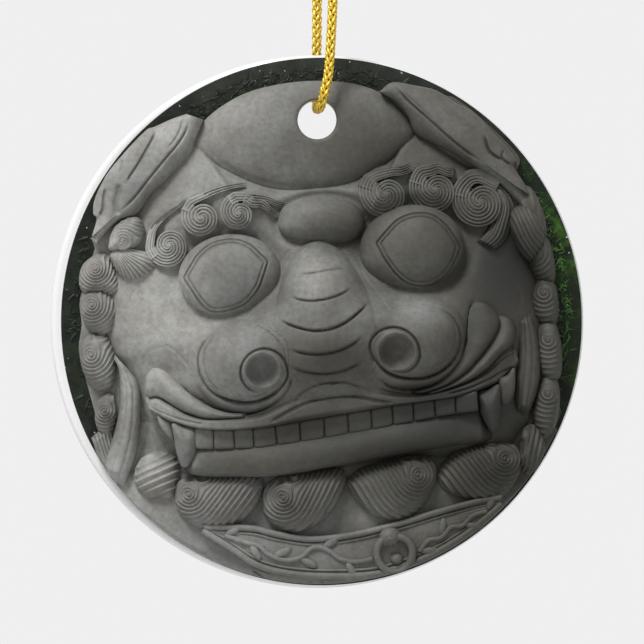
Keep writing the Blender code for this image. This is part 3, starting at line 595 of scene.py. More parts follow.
def node(tree, kind, inputs=None, **settings):
    """A node with its settings, and its inputs as values or sockets."""
    made = tree.nodes.new(kind)
    for key, value in settings.items():
        setattr(made, key, value)
    for key, value in (inputs or {}).items():
        if isinstance(value, bpy.types.NodeSocket):
            tree.links.new(value, made.inputs[key])
        else:
            made.inputs[key].default_value = value
    return made


def output(tree, kind, inputs=None, **settings):
    """The first output of a new node."""
    return node(tree, kind, inputs, **settings).outputs[0]


def new_tree(name, kind, inputs, outputs):
    """A node tree with its named sockets, as titles and kinds; its given values and its result."""
    tree = bpy.data.node_groups.new(name, kind)
    for side, sockets in (("INPUT", inputs), ("OUTPUT", outputs)):
        for title, socket in sockets.items():
            tree.interface.new_socket(title, in_out=side, socket_type="NodeSocket" + socket)
    return tree, tree.nodes.new("NodeGroupInput").outputs, tree.nodes.new("NodeGroupOutput").inputs


def new_material(name):
    """A new material, its tree, and a place on the piece as one vector and as x, y and z."""
    made = bpy.data.materials.new(name)
    made.use_nodes = True
    tree = made.node_tree
    tree.nodes.clear()
    where, parts = place_nodes(tree)
    return made, tree, where, parts


def place_nodes(tree):
    """A place on the piece, as one vector and as x, y and z."""
    where = node(tree, "ShaderNodeTexCoord").outputs["Object"]
    return where, node(tree, "ShaderNodeSeparateXYZ", {0: where}).outputs


def calc(tree, operation, *values):
    """A Math node; its values are numbers or sockets."""
    return output(tree, "ShaderNodeMath", dict(enumerate(values)), operation=operation)


def vector(tree, operation, *values, **named):
    """A Vector Math node; its values are vectors or sockets."""
    return output(tree, "ShaderNodeVectorMath", {**dict(enumerate(values)), **named}, operation=operation)


def mix(tree, share, first, second, blend="MIX"):
    """A colour Mix node; share, first and second are values or sockets."""
    inputs = {0: share, 6: first, 7: second}
    return node(tree, "ShaderNodeMix", inputs, data_type="RGBA", blend_type=blend).outputs[2]


def noise(tree, where, scale, detail=3.0, roughness=0.55):
    inputs = {"Vector": where, "Scale": scale, "Detail": detail, "Roughness": roughness}
    return node(tree, "ShaderNodeTexNoise", inputs).outputs["Fac"]


def spread(tree, value, low, high, kind="LINEAR"):
    """A value mapped from between low and high to between 0 and 1."""
    inputs = {"Value": value, "From Min": low, "From Max": high}
    return node(tree, "ShaderNodeMapRange", inputs, interpolation_type=kind).outputs["Result"]


# Soft pools of painted light and painted shade in the glaze: across, up, half width, half height, and how much
# paler (or darker) the middle is
PAINTED_LIGHT_AND_SHADE_POOLS = [
    (2.0, -15.6, 29.0, 6.8, -1.45),
    (20.0, -12.5, 14.0, 7.0, -0.45),
    (1.0, -6.0, 9.5, 5.4, -1.10),
    (0.0, 24.0, 17.0, 9.0, -0.45),
    (0.5, 6.5, 7.0, 5.5, 0.60),
    (-18.0, -3.0, 13.0, 10.0, 0.25),
    (24.0, 7.0, 10.0, 10.0, -0.85),
    (9.0, 25.0, 9.0, 8.0, -0.48),
    (17.5, 28.0, 8.0, 5.0, 0.32),
    (-30.0, -14.0, 9.0, 9.0, -0.35),
    (10.0, -26.5, 12.0, 5.0, 0.35),
    (1.0, -31.0, 26.0, 9.0, 0.45),
    (-25.0, 20.0, 10.0, 10.0, -0.55),
    (-31.0, -3.0, 6.0, 22.0, -0.45),
    (-12.0, 6.5, 8.0, 7.0, -0.25),
    (13.0, 10.5, 8.5, 7.0, -0.42),
    (14.0, 2.0, 9.0, 5.0, 0.50),
    (-14.0, -24.6, 9.0, 4.5, 0.25),
    (-13.0, -14.2, 8.0, 3.4, 0.32),
    (7.3, -27.4, 4.5, 3.0, 0.50),
    (3.4, 12.6, 8.0, 5.4, -0.75),
    (22.0, -1.0, 6.0, 8.0, -0.80),
    (18.0, -11.4, 13.0, 4.8, -1.50),
    (-13.0, -19.2, 9.0, 3.4, -0.75),
    (25.0, 19.0, 5.0, 6.0, 0.65),
    (-27.5, 16.0, 6.0, 7.0, -0.45),
    (-22.5, -20.5, 6.0, 5.0, 0.45),
    (22.5, -20.5, 7.0, 5.0, -0.50),
    (26.0, 8.0, 7.0, 8.0, -1.20),
    (-10.0, -31.0, 8.0, 4.0, 0.10),
    (-14.0, 15.5, 9.0, 5.0, 0.25),
    (14.0, 18.5, 9.0, 5.0, 0.18),
    (-1.0, 30.6, 12.0, 4.5, -0.40),
    (-20.0, 3.0, 11.0, 8.0, 0.24),
    (2.0, -3.5, 8.0, 3.0, -0.30),
    (25.0, -5.5, 5.0, 5.0, 0.30),
    (31.0, -4.0, 4.5, 9.0, 0.30),
    (-13.3, -5.3, 6.0, 4.5, -0.25),
]


def painted_shading_group():
    """Painted light and shade in the glaze: pale at the upper left and dark at the lower right, as if lit from
    there, with soft pools of painted light and shade.
    """
    tree, given, result = new_tree("painted_light_and_shade", "ShaderNodeTree", {"Colour": "Color"}, {"Colour": "Color"})
    where, parts = place_nodes(tree)
    across = calc(tree, "MULTIPLY", parts["X"], -33.0)
    up = calc(tree, "MULTIPLY", calc(tree, "SUBTRACT", parts["Z"], DISC_Z * MM), 9.0)
    wander = calc(tree, "MULTIPLY", calc(tree, "SUBTRACT", noise(tree, where, 55.0, 2.0), 0.5), 0.7)
    power = calc(tree, "ADD", calc(tree, "ADD", across, up), wander)
    for pool_across, pool_up, wide, tall, strength in PAINTED_LIGHT_AND_SHADE_POOLS:
        size = (1 / (wide * MM), 0, 1 / (tall * MM))
        middle = (-pool_across / wide, 0, -(DISC_Z + pool_up) / tall)
        place = vector(tree, "MULTIPLY_ADD", where, size, middle)
        ball = node(tree, "ShaderNodeTexGradient", {0: place}, gradient_type="SPHERICAL").outputs["Fac"]
        power = calc(tree, "MULTIPLY_ADD", spread(tree, ball, 0.0, 1.0, "SMOOTHSTEP"), strength, power)
    tone = calc(tree, "EXPONENT", power)
    scaled = vector(tree, "SCALE", given["Colour"], Scale=tone)
    # Where the painted shade is dark, it is also a little greener and warmer.
    warm = mix(tree, spread(tree, tone, 0.25, 1.1), (1.0, 0.97, 0.80, 1), (1.0, 1.0, 1.0, 1))
    tree.links.new(mix(tree, 1.0, scaled, warm, "MULTIPLY"), result["Colour"])
    return tree


def grain_group():
    """Cloudy mottling, dark pores and dust of a matt stone-like glaze, darkened with painted shade and some grime
    where it is hollow.
    """
    tree, given, result = new_tree(
        "stone_grain", "ShaderNodeTree", {"Colour": "Color", "Crevice": "Color", "Hollow": "Float"},
        {"Colour": "Color", "Roughness": "Float", "Height": "Float"},
    )
    where, _ = place_nodes(tree)
    cloud = noise(tree, where, 160.0, 4.0, 0.6)
    fine = noise(tree, where, 1300.0, 3.0, 0.6)
    pores = spread(tree, noise(tree, where, 2300.0, 1.0), 0.66, 0.74)
    mottle = mix(tree, spread(tree, cloud, 0.38, 0.66), (0.76, 0.75, 0.72, 1), (1.12, 1.13, 1.15, 1))
    colour = mix(tree, 1.0, given["Colour"], mottle, "MULTIPLY")
    colour = mix(tree, calc(tree, "MULTIPLY", pores, 0.24), colour, given["Crevice"])
    speckle = mix(tree, spread(tree, fine, 0.36, 0.64), (0.86, 0.85, 0.83, 1), (1.09, 1.09, 1.10, 1))
    colour = mix(tree, 1.0, colour, speckle, "MULTIPLY")
    # Brownish stains, spread at random through the glaze.
    darkening = calc(tree, "MULTIPLY", spread(tree, noise(tree, where, 420.0, 3.0), 0.45, 0.8), 0.40)
    colour = mix(tree, darkening, colour, mix(tree, 1.0, colour, (0.80, 0.74, 0.66, 1), "MULTIPLY"))
    # The hollow mark darkens the glaze towards the Crevice colour: painted shade, with some grime.
    dark = calc(tree, "MULTIPLY", calc(tree, "POWER", given["Hollow"], 1.3), 0.86)
    height = calc(tree, "SUBTRACT", calc(tree, "ADD", calc(tree, "MULTIPLY", cloud, 0.6), fine), pores)
    tree.links.new(mix(tree, dark, colour, given["Crevice"]), result["Colour"])
    tree.links.new(calc(tree, "ADD", calc(tree, "MULTIPLY", cloud, 0.16), 0.58), result["Roughness"])
    tree.links.new(height, result["Height"])
    return tree


def finish_material(made, colour, roughness, height=None, strength=0.0, distance=0.0, **fixed):
    """Joins a Principled BSDF to its colour, roughness and bump height."""
    tree = made.node_tree
    inputs = {"Base Color": colour, "Roughness": roughness}
    inputs.update({title.replace("_", " "): value for title, value in fixed.items()})
    if height is not None:
        bump = node(tree, "ShaderNodeBump", {"Strength": strength, "Distance": distance, "Height": height})
        inputs["Normal"] = bump.outputs["Normal"]
    shader = node(tree, "ShaderNodeBsdfPrincipled", inputs)
    node(tree, "ShaderNodeOutputMaterial", {0: shader.outputs[0]})
    return made


PAINTED_SHADING = painted_shading_group()
GRAIN = grain_group()
STONE_TONE = (0.150, 0.150, 0.142, 1)
# The colour of painted shade, with some grime, in the glaze's hollows.
CREVICE_SHADE_AND_GRIME_TONE = (0.235, 0.19, 0.145, 1)


def stone_material(name):
    made, tree, _, _ = new_material(name)
    # The glaze's base tone gets painted light and shade from the shading group.
    shaded = node(tree, "ShaderNodeGroup", node_tree=PAINTED_SHADING)
    shaded.inputs["Colour"].default_value = STONE_TONE
    tone = shaded.outputs["Colour"]
    hollow = node(tree, "ShaderNodeAttribute", attribute_name="hollow").outputs["Fac"]
    grain = node(tree, "ShaderNodeGroup", node_tree=GRAIN)
    tree.links.new(tone, grain.inputs["Colour"])
    # The Crevice colour, for painted shade with some grime, is the painted tone made browner.
    tree.links.new(mix(tree, 1.0, tone, CREVICE_SHADE_AND_GRIME_TONE, "MULTIPLY"), grain.inputs["Crevice"])
    tree.links.new(hollow, grain.inputs["Hollow"])
    colour, rough, height = grain.outputs
    return finish_material(made, colour, rough, height, 0.35, 0.00008)


def porcelain_material():
    made, tree, where, _ = new_material("white_porcelain")
    cloud = noise(tree, where, 90.0, 2.0)
    colour = mix(tree, cloud, (0.86, 0.86, 0.85, 1), (0.90, 0.90, 0.895, 1))
    rough = calc(tree, "ADD", calc(tree, "MULTIPLY", cloud, 0.08), 0.12)
    return finish_material(made, colour, rough, noise(tree, where, 240.0, 2.0), 0.1, 0.00005, Coat_Weight=0.4)


def lit_green(tree, parts, low, bright):
    """The green of sunlit leaves, deeper further down."""
    return mix(tree, spread(tree, parts["Z"], -0.098, -0.072), low, bright)


def ground_material():
    """Dark, dappled green behind the lion, brighter at the right."""
    made, tree, where, parts = new_material("foliage_glaze")
    dapple = spread(tree, noise(tree, where, 420.0, 5.0, 0.65), 0.42, 0.72)
    right = spread(tree, parts["X"], 0.026, 0.034)
    top = spread(tree, parts["Z"], -0.0620, -0.0500)
    dark = mix(tree, dapple, (0.006, 0.009, 0.006, 1), (0.022, 0.032, 0.018, 1))
    patchy = spread(tree, noise(tree, where, 190.0, 3.0), 0.44, 0.64)
    bright = lit_green(tree, parts, (0.018, 0.040, 0.008, 1), (0.075, 0.20, 0.022, 1))
    lit = mix(tree, patchy, (0.008, 0.018, 0.005, 1), bright)
    green = mix(tree, dapple, (0.003, 0.006, 0.002, 1), lit)
    hazy = mix(tree, dapple, (0.020, 0.023, 0.018, 1), (0.046, 0.052, 0.040, 1))
    colour = mix(tree, top, mix(tree, right, dark, green), hazy)
    specks = spread(tree, noise(tree, where, 1500.0, 1.0), 0.735, 0.76)
    colour = mix(tree, specks, colour, (0.45, 0.52, 0.62, 1))
    return finish_material(made, colour, 0.6, dapple, 0.3, 0.0001, Specular_IOR_Level=0.2)


STONE = stone_material("stone_glaze")
SKIN = stone_material("stone_glaze_smooth")
PORCELAIN = porcelain_material()
GROUND = ground_material()


# The face and nose


def face_surface(x, z):
    """The head's surface, sunk a little under the pieces that lie on the face."""
    out, marks = head_surface(x, z)
    for outline, centre in SHARED_PARTS:
        out = out - 0.3 * smoothstep((1.0 - share_out(outline, centre, x, z)) / 0.02)
    return out, marks


# The wings of the nostrils
WING_OUTLINES = {
    "left_nostril": [
        (-14.28, -1.56), (-15.67, -3.21), (-16.3, -5.17), (-15.86, -7.44), (-14.65, -9.28), (-12.57, -10.48),
        (-9.6, -11.01), (-7.07, -10.48), (-5.17, -9.28), (-4.04, -7.44), (-4.29, -5.17), (-4.86, -3.27),
        (-6.75, -1.37), (-9.6, -0.11), (-12.44, -0.27),
    ],
    "right_nostril": [
        (16.0, 1.98), (18.15, 0.96), (19.42, -1.06), (19.54, -3.4), (18.15, -5.74), (15.75, -7.38), (12.84, -7.76),
        (10.0, -7.13), (7.98, -5.36), (7.15, -3.27), (7.53, -1.06), (9.05, 0.84), (11.26, 2.1), (13.79, 2.48),
    ],
}
WING_CENTRES = {"left_nostril": (-9.60, -6.12), "right_nostril": (13.16, -2.96)}
NOSE_CENTRE = np.array((1.23, 0.21))
SHARED_PARTS = [(NOSE_OUTLINE, NOSE_CENTRE)] + [
    (outline, np.array(WING_CENTRES[name])) for name, outline in WING_OUTLINES.items()
]


def build_face():
    settle_skin("face", star_shell(FACE_OUTLINE, FACE_CENTRE, face_surface, 120, 440, PIECE_FLOOR))
    settle_skin("nose_bridge", star_shell(NOSE_OUTLINE, NOSE_CENTRE, head_surface, 64, 220, 5.0))
    for name, outline in WING_OUTLINES.items():
        settle_skin(name, star_shell(outline, WING_CENTRES[name], head_surface, 72, 240, 5.0))


def eye_surface(lump, lens):
    """An eye's ball with a raised lens inside two carved lines."""
    middle = np.mean(lens, axis=0)
    inner = middle + (np.asarray(lens) - middle) * 0.9
    grooves = [Groove(lens, 0.13, 0.3, closed=True), Groove(inner, 0.12, 0.22, closed=True)]

    def found(x, z):
        out = lump.out + lump.deep * dome(np.clip(lump.radius(x, z), 0, 1), 2)
        out = out + 0.14 * smoothstep((1.02 - share_out(lens, middle, x, z)) / 0.06)
        out, marks = cut_lines(grooves, x, z, out)
        return out, {"hollow": marks["hollow"] * 0.9}

    return found


def ellipse_outline(lump, count=24):
    turns = full_turn(count)
    u, v = lump.wide * np.cos(turns), lump.tall * np.sin(turns)
    c, s = math.cos(lump.tilt), math.sin(lump.tilt)
    return np.stack([lump.across + u * c - v * s, lump.up + u * s + v * c], axis=1)


def build_eyes():
    for name, lump, lens in (("left_eye", LEFT_EYE, LEFT_LENS), ("right_eye", RIGHT_EYE, RIGHT_LENS)):
        middle = (lump.across, lump.up)
        settle_skin(name, star_shell(ellipse_outline(lump), middle, eye_surface(lump, lens), 70, 260, 4.0))


def domed(lump, outline, centre, power=2.0):
    """A plain rounded surface that follows its own outline."""

    def found(x, z):
        return lump.out + lump.deep * dome(share_in(outline, centre, x, z), power), hollow_mark(x)

    return found


def build_knob():
    centre = (0.6, 13.9)
    settle_skin("brow_knob", star_shell(KNOB_OUTLINE, centre, domed(BROW_KNOB, KNOB_OUTLINE, centre), 40, 160, 3.5))


def ring_shell(outline, surface, rings, spokes, floor, samples=1440):
    """A closed shell from the punched hole out to an outline. Its last faces line the hole."""
    turns = np.linspace(-math.pi, math.pi, spokes, endpoint=False)
    far = outline_radius(outline, (0.0, HOLE_UP), turns, samples)
    share = np.linspace(0, 1, rings + 1)
    share = share * (1 + 0.35 * (1 - share))
    radius = HOLE_RADIUS + share[:, None] * (far - HOLE_RADIUS)[None]
    x = (radius * np.cos(turns)).ravel()
    z = (HOLE_UP + radius * np.sin(turns)).ravel()
    flat = np.stack([x, z], axis=1)
    total, last = (rings + 1) * spokes, rings * spokes
    j = np.arange(spokes)
    k = (j + 1) % spokes
    outer = np.stack([last + k, last + j, total + j, total + k], -1)
    back = np.stack([total + k, total + j, total + spokes + j, total + spokes + k], -1)
    wall = np.stack([total + spokes + k, total + spokes + j, j, k], -1)
    faces = np.vstack([grid_quads(rings + 1, spokes, True), outer, back, wall]).tolist()
    return backed_shell(flat, np.vstack([flat[last:], flat[:spokes]]), *surface(x, z), floor, faces)


def lined_hole(item, spokes):
    """Gives the hole's lining, a piece's last faces, its second material."""
    slots = np.zeros(len(item.data.polygons), np.int32)
    slots[-spokes:] = 1
    item.data.polygons.foreach_set("material_index", slots)
    return item


FOREHEAD_LINES = [
    [(-15.74, 24.49), (-12.11, 21.19), (-7.26, 19.16), (-1.44, 18.19)],
    [(12.61, 25.07), (10.19, 22.16), (6.31, 20.13)],
]


def build_forehead():
    """A dome with the punched hole through it, whose wall is white like the disc's."""

    def surface(x, z):
        centre = (FOREHEAD.across, FOREHEAD.up - 0.5)
        out = LOW_LEVEL + FOREHEAD.deep * dome(share_in(FOREHEAD_OUTLINE, centre, x, z))
        out -= 0.25 * near(np.hypot(x, z - HOLE_UP), HOLE_RADIUS, 0.22)
        return cut_lines([Groove(points, 0.3, 0.08) for points in FOREHEAD_LINES], x, z, out)

    spokes = 240
    part = ring_shell(FOREHEAD_OUTLINE, surface, 70, spokes, PIECE_FLOOR, 720)
    settle(lined_hole(mesh_of("forehead_dome", [part], [SKIN, PORCELAIN]), spokes), ["forehead_dome"])


# The mouth

LIP_TOP = [
    (-23.44, -10.46), (-22.03, -9.8), (-20.12, -10.82), (-17.91, -12.15), (-15.39, -12.9), (-12.38, -12.94),
    (-9.28, -12.77), (-6.63, -11.88), (-3.53, -10.02), (-0.43, -8.69), (2.44, -8.16), (5.76, -8.43), (8.42, -9.23),
    (11.07, -9.85), (14.17, -9.85), (17.27, -9.14), (20.28, -7.9), (22.93, -6.22), (24.79, -4.27), (26.74, -2.77),
]
LIP_FOOT = [
    (-22.91, -12.15), (-21.45, -13.21), (-19.68, -14.0), (-16.8, -14.76), (-13.71, -14.98), (-11.49, -14.98),
    (-8.75, -14.76), (-5.74, -14.45), (-2.42, -13.87), (0.9, -13.34), (4.13, -12.77), (7.31, -12.23),
    (10.19, -11.66), (13.06, -11.26), (15.94, -10.86), (18.82, -10.51), (21.83, -9.67), (24.88, -8.52),
    (26.65, -7.01), (27.62, -5.69),
]
# Lines carved in the upper lip: points, width, depth and lift
LIP_LINES = [
    ([
        (-23.26, -10.46), (-21.89, -9.93), (-20.34, -10.77), (-18.13, -12.1), (-15.83, -12.85), (-12.82, -13.03),
    ], 0.16, 0.35, -0.1),
    ([
        (-3.18, -11.08), (-1.98, -9.76), (-0.34, -8.87), (2.22, -8.25), (4.97, -8.39), (7.44, -9.18),
    ], 0.17, 0.35, -0.25),
    ([
        (-6.54, -14.0), (-4.86, -12.94), (-2.64, -11.7), (-0.34, -10.77), (2.67, -10.16), (5.76, -10.29),
        (8.42, -10.91), (11.07, -11.26),
    ], 0.18, 0.42, -0.35),
    ([
        (26.65, -2.85), (24.88, -4.27), (23.11, -6.22), (20.81, -7.81), (17.71, -9.14), (14.17, -9.93),
    ], 0.18, 0.4, 0.1),
    ([(27.44, -6.13), (25.45, -6.75), (23.37, -7.9), (20.81, -9.05), (17.71, -9.93)], 0.14, 0.25, 0.1),
    ([(-22.73, -11.7), (-20.79, -12.59), (-18.13, -13.47), (-15.39, -14.0)], 0.13, 0.14, 0.0),
    ([(27.09, -4.09), (25.67, -4.8), (23.9, -6.31), (22.13, -7.54)], 0.12, 0.12, 0.0),
]
LOWER_TOP = [
    (-18.84, -19.5), (-17.47, -19.41), (-16.27, -16.8), (-13.71, -16.84), (-11.05, -16.76), (-8.4, -16.58),
    (-5.3, -16.23), (-2.2, -15.83), (1.12, -15.38), (4.44, -14.76), (7.53, -14.19), (10.63, -13.53),
    (13.29, -13.04), (16.38, -12.46), (19.04, -12.02), (21.87, -11.67), (22.67, -13.48), (24.35, -14.81),
]
LOWER_FOOT = [
    (-18.49, -20.46), (-17.16, -21.0), (-15.39, -21.35), (-13.26, -21.48), (-10.61, -21.48), (-7.95, -21.39),
    (-5.3, -21.22), (-2.2, -20.82), (1.12, -20.16), (4.44, -19.58), (7.53, -18.96), (10.63, -18.39), (13.29, -17.9),
    (16.38, -17.37), (19.04, -16.97), (21.25, -16.79), (23.02, -16.48), (24.52, -15.69),
]
# Each roll: its two edge lines, and how far it stands out by across (0) or by up (1)
ROLLS = {
    "left_lip_roll": (
        [
            (-23.53, -8.78), (-23.26, -7.28), (-22.29, -6.35), (-20.79, -6.75), (-19.24, -8.08), (-17.69, -9.58),
            (-15.39, -11.26), (-12.38, -12.37), (-9.28, -12.5),
        ],
        [
            (-23.44, -9.71), (-22.91, -10.38), (-22.03, -10.25), (-21.01, -10.6), (-19.99, -11.31),
            (-18.57, -12.19), (-17.03, -12.81), (-14.59, -13.39), (-9.28, -13.17),
        ],
        0, [(-23.4, 5.9), (-21.0, 7.5), (-18.0, 8.3), (-15.0, 8.5), (-11.0, 8.1), (-7.0, 7.7)],
    ),
    "right_lip_roll_inner": (
        [
            (22.13, 3.16), (21.34, 2.54), (20.72, 1.0), (20.54, -1.0), (20.36, -2.99), (19.39, -5.51),
            (17.71, -7.46), (15.5, -8.87), (12.4, -9.71),
        ],
        [
            (22.83, 2.97), (24.15, 1.86), (24.86, 0.27), (24.51, -1.37), (23.49, -3.14), (21.94, -5.26),
            (19.82, -7.34), (17.52, -8.84), (13.54, -10.17),
        ],
        1, [(-8.0, 8.0), (-6.0, 8.4), (-3.0, 8.2), (0.0, 7.5), (2.0, 6.8), (3.2, 6.0)],
    ),
    "right_lip_roll_outer": (
        [
            (25.5, 1.22), (24.79, 0.6), (24.35, -0.91), (23.46, -2.85), (21.91, -5.07), (19.92, -7.1),
            (17.71, -8.61), (14.17, -9.93),
        ],
        [
            (26.05, 0.87), (26.94, -0.06), (27.29, -1.38), (26.85, -3.07), (25.08, -4.57), (23.31, -6.52),
            (20.92, -8.2), (15.26, -10.32),
        ],
        1, [(-8.0, 7.9), (-6.0, 8.0), (-4.0, 7.5), (-2.0, 6.7), (0.0, 5.8), (1.2, 5.0)],
    ),
}
UPPER_LIP_OUT = [
    (-23.5, 5.6), (-20.0, 7.7), (-14.0, 8.7), (-6.4, 9.1), (1.8, 9.2), (10.7, 9.0), (17.5, 8.3), (22.6, 7.2),
    (26.5, 5.0),
]
LOWER_LIP_OUT = [
    (-21.0, 5.9), (-17.4, 7.1), (-9.0, 7.8), (-1.0, 8.1), (6.0, 8.1), (11.6, 7.8), (18.2, 7.1), (25.0, 5.4),
]

# Where the gaps between teeth meet the lip, and their biting edge
TOOTH_TOPS = [
    (-16.72, -14.45), (-14.15, -14.71), (-11.41, -14.71), (-8.75, -14.54), (-5.74, -14.18), (-2.42, -13.61),
    (0.9, -13.08), (4.13, -12.5), (7.31, -11.97), (10.19, -11.39), (13.06, -11.0), (15.94, -10.6), (18.82, -10.2),
    (21.83, -9.4),
]
TOOTH_ENDS = [
    (-16.58, -17.32), (-14.06, -17.41), (-11.18, -17.32), (-8.57, -17.23), (-5.43, -16.84), (-2.2, -16.44),
    (1.07, -15.95), (4.35, -15.29), (7.53, -14.76), (10.41, -14.09), (13.2, -13.61), (16.16, -13.03),
    (18.95, -12.59), (22.05, -12.19),
]
SIDE_TEETH = [
    [(-21.85, -12.68), (-20.79, -13.3), (-19.77, -13.92), (-19.55, -16.13), (-20.61, -15.42), (-21.41, -14.27)],
    [(24.8, -8.1), (25.94, -7.3), (26.95, -6.3), (27.0, -9.2), (26.35, -10.91), (25.1, -11.26)],
]
# Each fang: its outline, and how far it stands out by up
FANG_OUTLINES = {
    "left_fang": ([
        (-19.77, -13.83), (-18.22, -14.27), (-16.72, -14.71), (-16.36, -16.39), (-16.54, -18.03), (-17.16, -19.36),
        (-17.95, -19.93), (-18.66, -19.49), (-19.19, -17.81), (-19.5, -15.82),
    ], [(-20.4, 7.5), (-16.0, 8.3), (-12.0, 8.5)]),
    "right_fang": ([
        (21.96, -9.76), (23.46, -9.23), (24.88, -8.61), (25.06, -10.95), (24.88, -13.39), (24.52, -14.89),
        (23.9, -15.16), (23.2, -14.27), (22.49, -12.94), (22.13, -11.53),
    ], [(-16.0, 6.6), (-12.0, 7.5), (-8.4, 7.5)]),
}


def rolled(heights, axis, fullness, kept):
    """The surface of a rounded strip that swells out of the head between its two edge lines."""
    known, outs = np.array(heights).T

    def found(x, z, u, v):
        base = head_form(x, z) - 0.25
        top = np.interp(z if axis else x, known, outs)
        swell = np.sin(math.pi * np.clip(v, 0, 1)) ** fullness
        # A side that lies against the next fold stays up.
        swell = swell + (1 - swell) * (kept[0] * (1 - v) + kept[1] * v)
        out = base + (top - base) * swell * both_ends(u, 0.05, 0.06)
        # Painted shade where the strip sinks towards the head at its edges.
        return out, {"hollow": 0.4 * (1 - swell) ** 3}

    return found


def upper_lip_surface(x, z, u, v):
    known, outs = np.array(UPPER_LIP_OUT).T
    base = head_form(x, z)
    top = np.interp(x, known, outs)
    rise = (0.35 + 0.65 * smoothstep(v / 0.4)) * (1 - 0.7 * smoothstep((v - 0.74) / 0.26) ** 2)
    out = base - 0.12 + (top - base) * rise
    grooves = [Groove(*line, 1.2, 0.08) for line in LIP_LINES]
    # Painted shade along the lip's lower edge, over the teeth.
    return cut_lines(grooves, x, z, out, 0.5 * smoothstep((v - 0.88) / 0.12))


def tooth_shell(corners, front):
    """One tooth with rounded edges between four corners: top left, top right, bottom right, bottom left."""
    turns = full_turn(44)
    u, v = np.cos(turns), np.sin(turns)
    square = (np.abs(u) ** 8 + np.abs(v) ** 8) ** (-1 / 8)
    u, v = 0.5 + 0.49 * u * square, 0.5 + 0.5 * v * square
    a, b, c, d = (np.array(corner) for corner in corners)
    outline = (
        (1 - u)[:, None] * v[:, None] * a + u[:, None] * v[:, None] * b
        + u[:, None] * (1 - v)[:, None] * c + (1 - u)[:, None] * (1 - v)[:, None] * d
    )
    return worn_shell(outline, front, 0.22, 9, 12)


def worn_shell(outline, front, drop, power, rings):
    """A flat-topped shell whose edges are worn round; front is its out, or a function of up."""
    outline = np.asarray(outline, float)
    centre = outline.mean(0)

    def found(x, z):
        share = share_in(outline, centre, x, z)
        level = front(z) if callable(front) else front
        # Painted shade along the shell's edge.
        return level - drop * share**power, {"hollow": 0.5 * share**22}

    return star_shell(outline, centre, found, rings, 44, 4.4)


def between(edges, count):
    """Two smooth edge lines, with as many points on each."""
    return [smooth_curve(points, count) for points in edges]


def gum_surface(x, z, u, v):
    """The flat ground between the teeth, darkened evenly with painted shade."""
    return np.full_like(x, 7.05), hollow_mark(x, 0.6)


def build_mouth():
    settle_skin("upper_lip", loft_shell(*between((LIP_TOP, LIP_FOOT), 260), upper_lip_surface, 40, 3.6))
    surface = rolled(LOWER_LIP_OUT, 0, 0.38, (0.55, 0.0))
    settle_skin("lower_lip", loft_shell(*between((LOWER_TOP, LOWER_FOOT), 160), surface, 26, 3.2))
    for name, (first, second, axis, heights) in ROLLS.items():
        kept = (0.6, 0.0 if name == "right_lip_roll_outer" else 0.5)
        settle_skin(name, loft_shell(*between((first, second), 110), rolled(heights, axis, 0.6, kept), 26, 3.4))
    teeth = []
    for top, next_top, end, next_end in zip(TOOTH_TOPS, TOOTH_TOPS[1:], TOOTH_ENDS, TOOTH_ENDS[1:]):
        teeth.append(tooth_shell((top, next_top, next_end, end), 7.5))
    teeth.append(loft_shell(*between((TOOTH_TOPS, TOOTH_ENDS), 160), gum_surface, 6, 4.4))
    for outline in SIDE_TEETH:
        teeth.append(worn_shell(outline, 6.2, 0.5, 4, 12))
    settle_skin("upper_teeth", *teeth)
    for name, (outline, heights) in FANG_OUTLINES.items():
        known, outs = np.array(heights).T
        settle_skin(name, worn_shell(outline, lambda z: np.interp(z, known, outs), 1.3, 2.4, 26))


# Carved hair


def geometry_tree(name, **inputs):
    """A geometry tree with its named inputs after the geometry, and the material of its surface last."""
    sockets = {"Geometry": "Geometry"}
    sockets.update({title.replace("_", " "): kind for title, kind in inputs.items()})
    return new_tree(name, "GeometryNodeTree", {**sockets, "Surface": "Material"}, {"Geometry": "Geometry"})


def finish_tree(tree, given, result, geometry, smooth=False):
    """Makes a tree's geometry real, gives it its material and returns the tree."""
    whole = output(tree, "GeometryNodeRealizeInstances", {"Geometry": geometry})
    if smooth:
        whole = output(tree, "GeometryNodeSetShadeSmooth", {"Geometry": whole})
    inputs = {"Geometry": whole, "Material": given["Surface"]}
    tree.links.new(output(tree, "GeometryNodeSetMaterial", inputs), result[0])
    return tree


def stored_mark(tree, name):
    """The values of a mark in a geometry tree."""
    inputs = {"Name": name}
    return node(tree, "GeometryNodeInputNamedAttribute", inputs, data_type="FLOAT").outputs["Attribute"]


def tube_of(tree, path, radius, sides):
    """A round tube with closed ends along curves."""
    circle = output(tree, "GeometryNodeCurvePrimitiveCircle", {"Resolution": sides, "Radius": radius})
    inputs = {"Curve": path, "Profile Curve": circle, "Fill Caps": True}
    return output(tree, "GeometryNodeCurveToMesh", inputs)


def grow(item, tree, name, **values):
    """Runs a geometry tree on an object and returns its result as a plain mesh object."""
    modifier = item.modifiers.new(name, "NODES")
    modifier.node_group = tree
    sockets = {s.name: s.identifier for s in tree.interface.items_tree if s.in_out == "INPUT"}
    for title, value in values.items():
        modifier[sockets[title.replace("_", " ")]] = value
    return linked(name, finished_mesh(item, name))


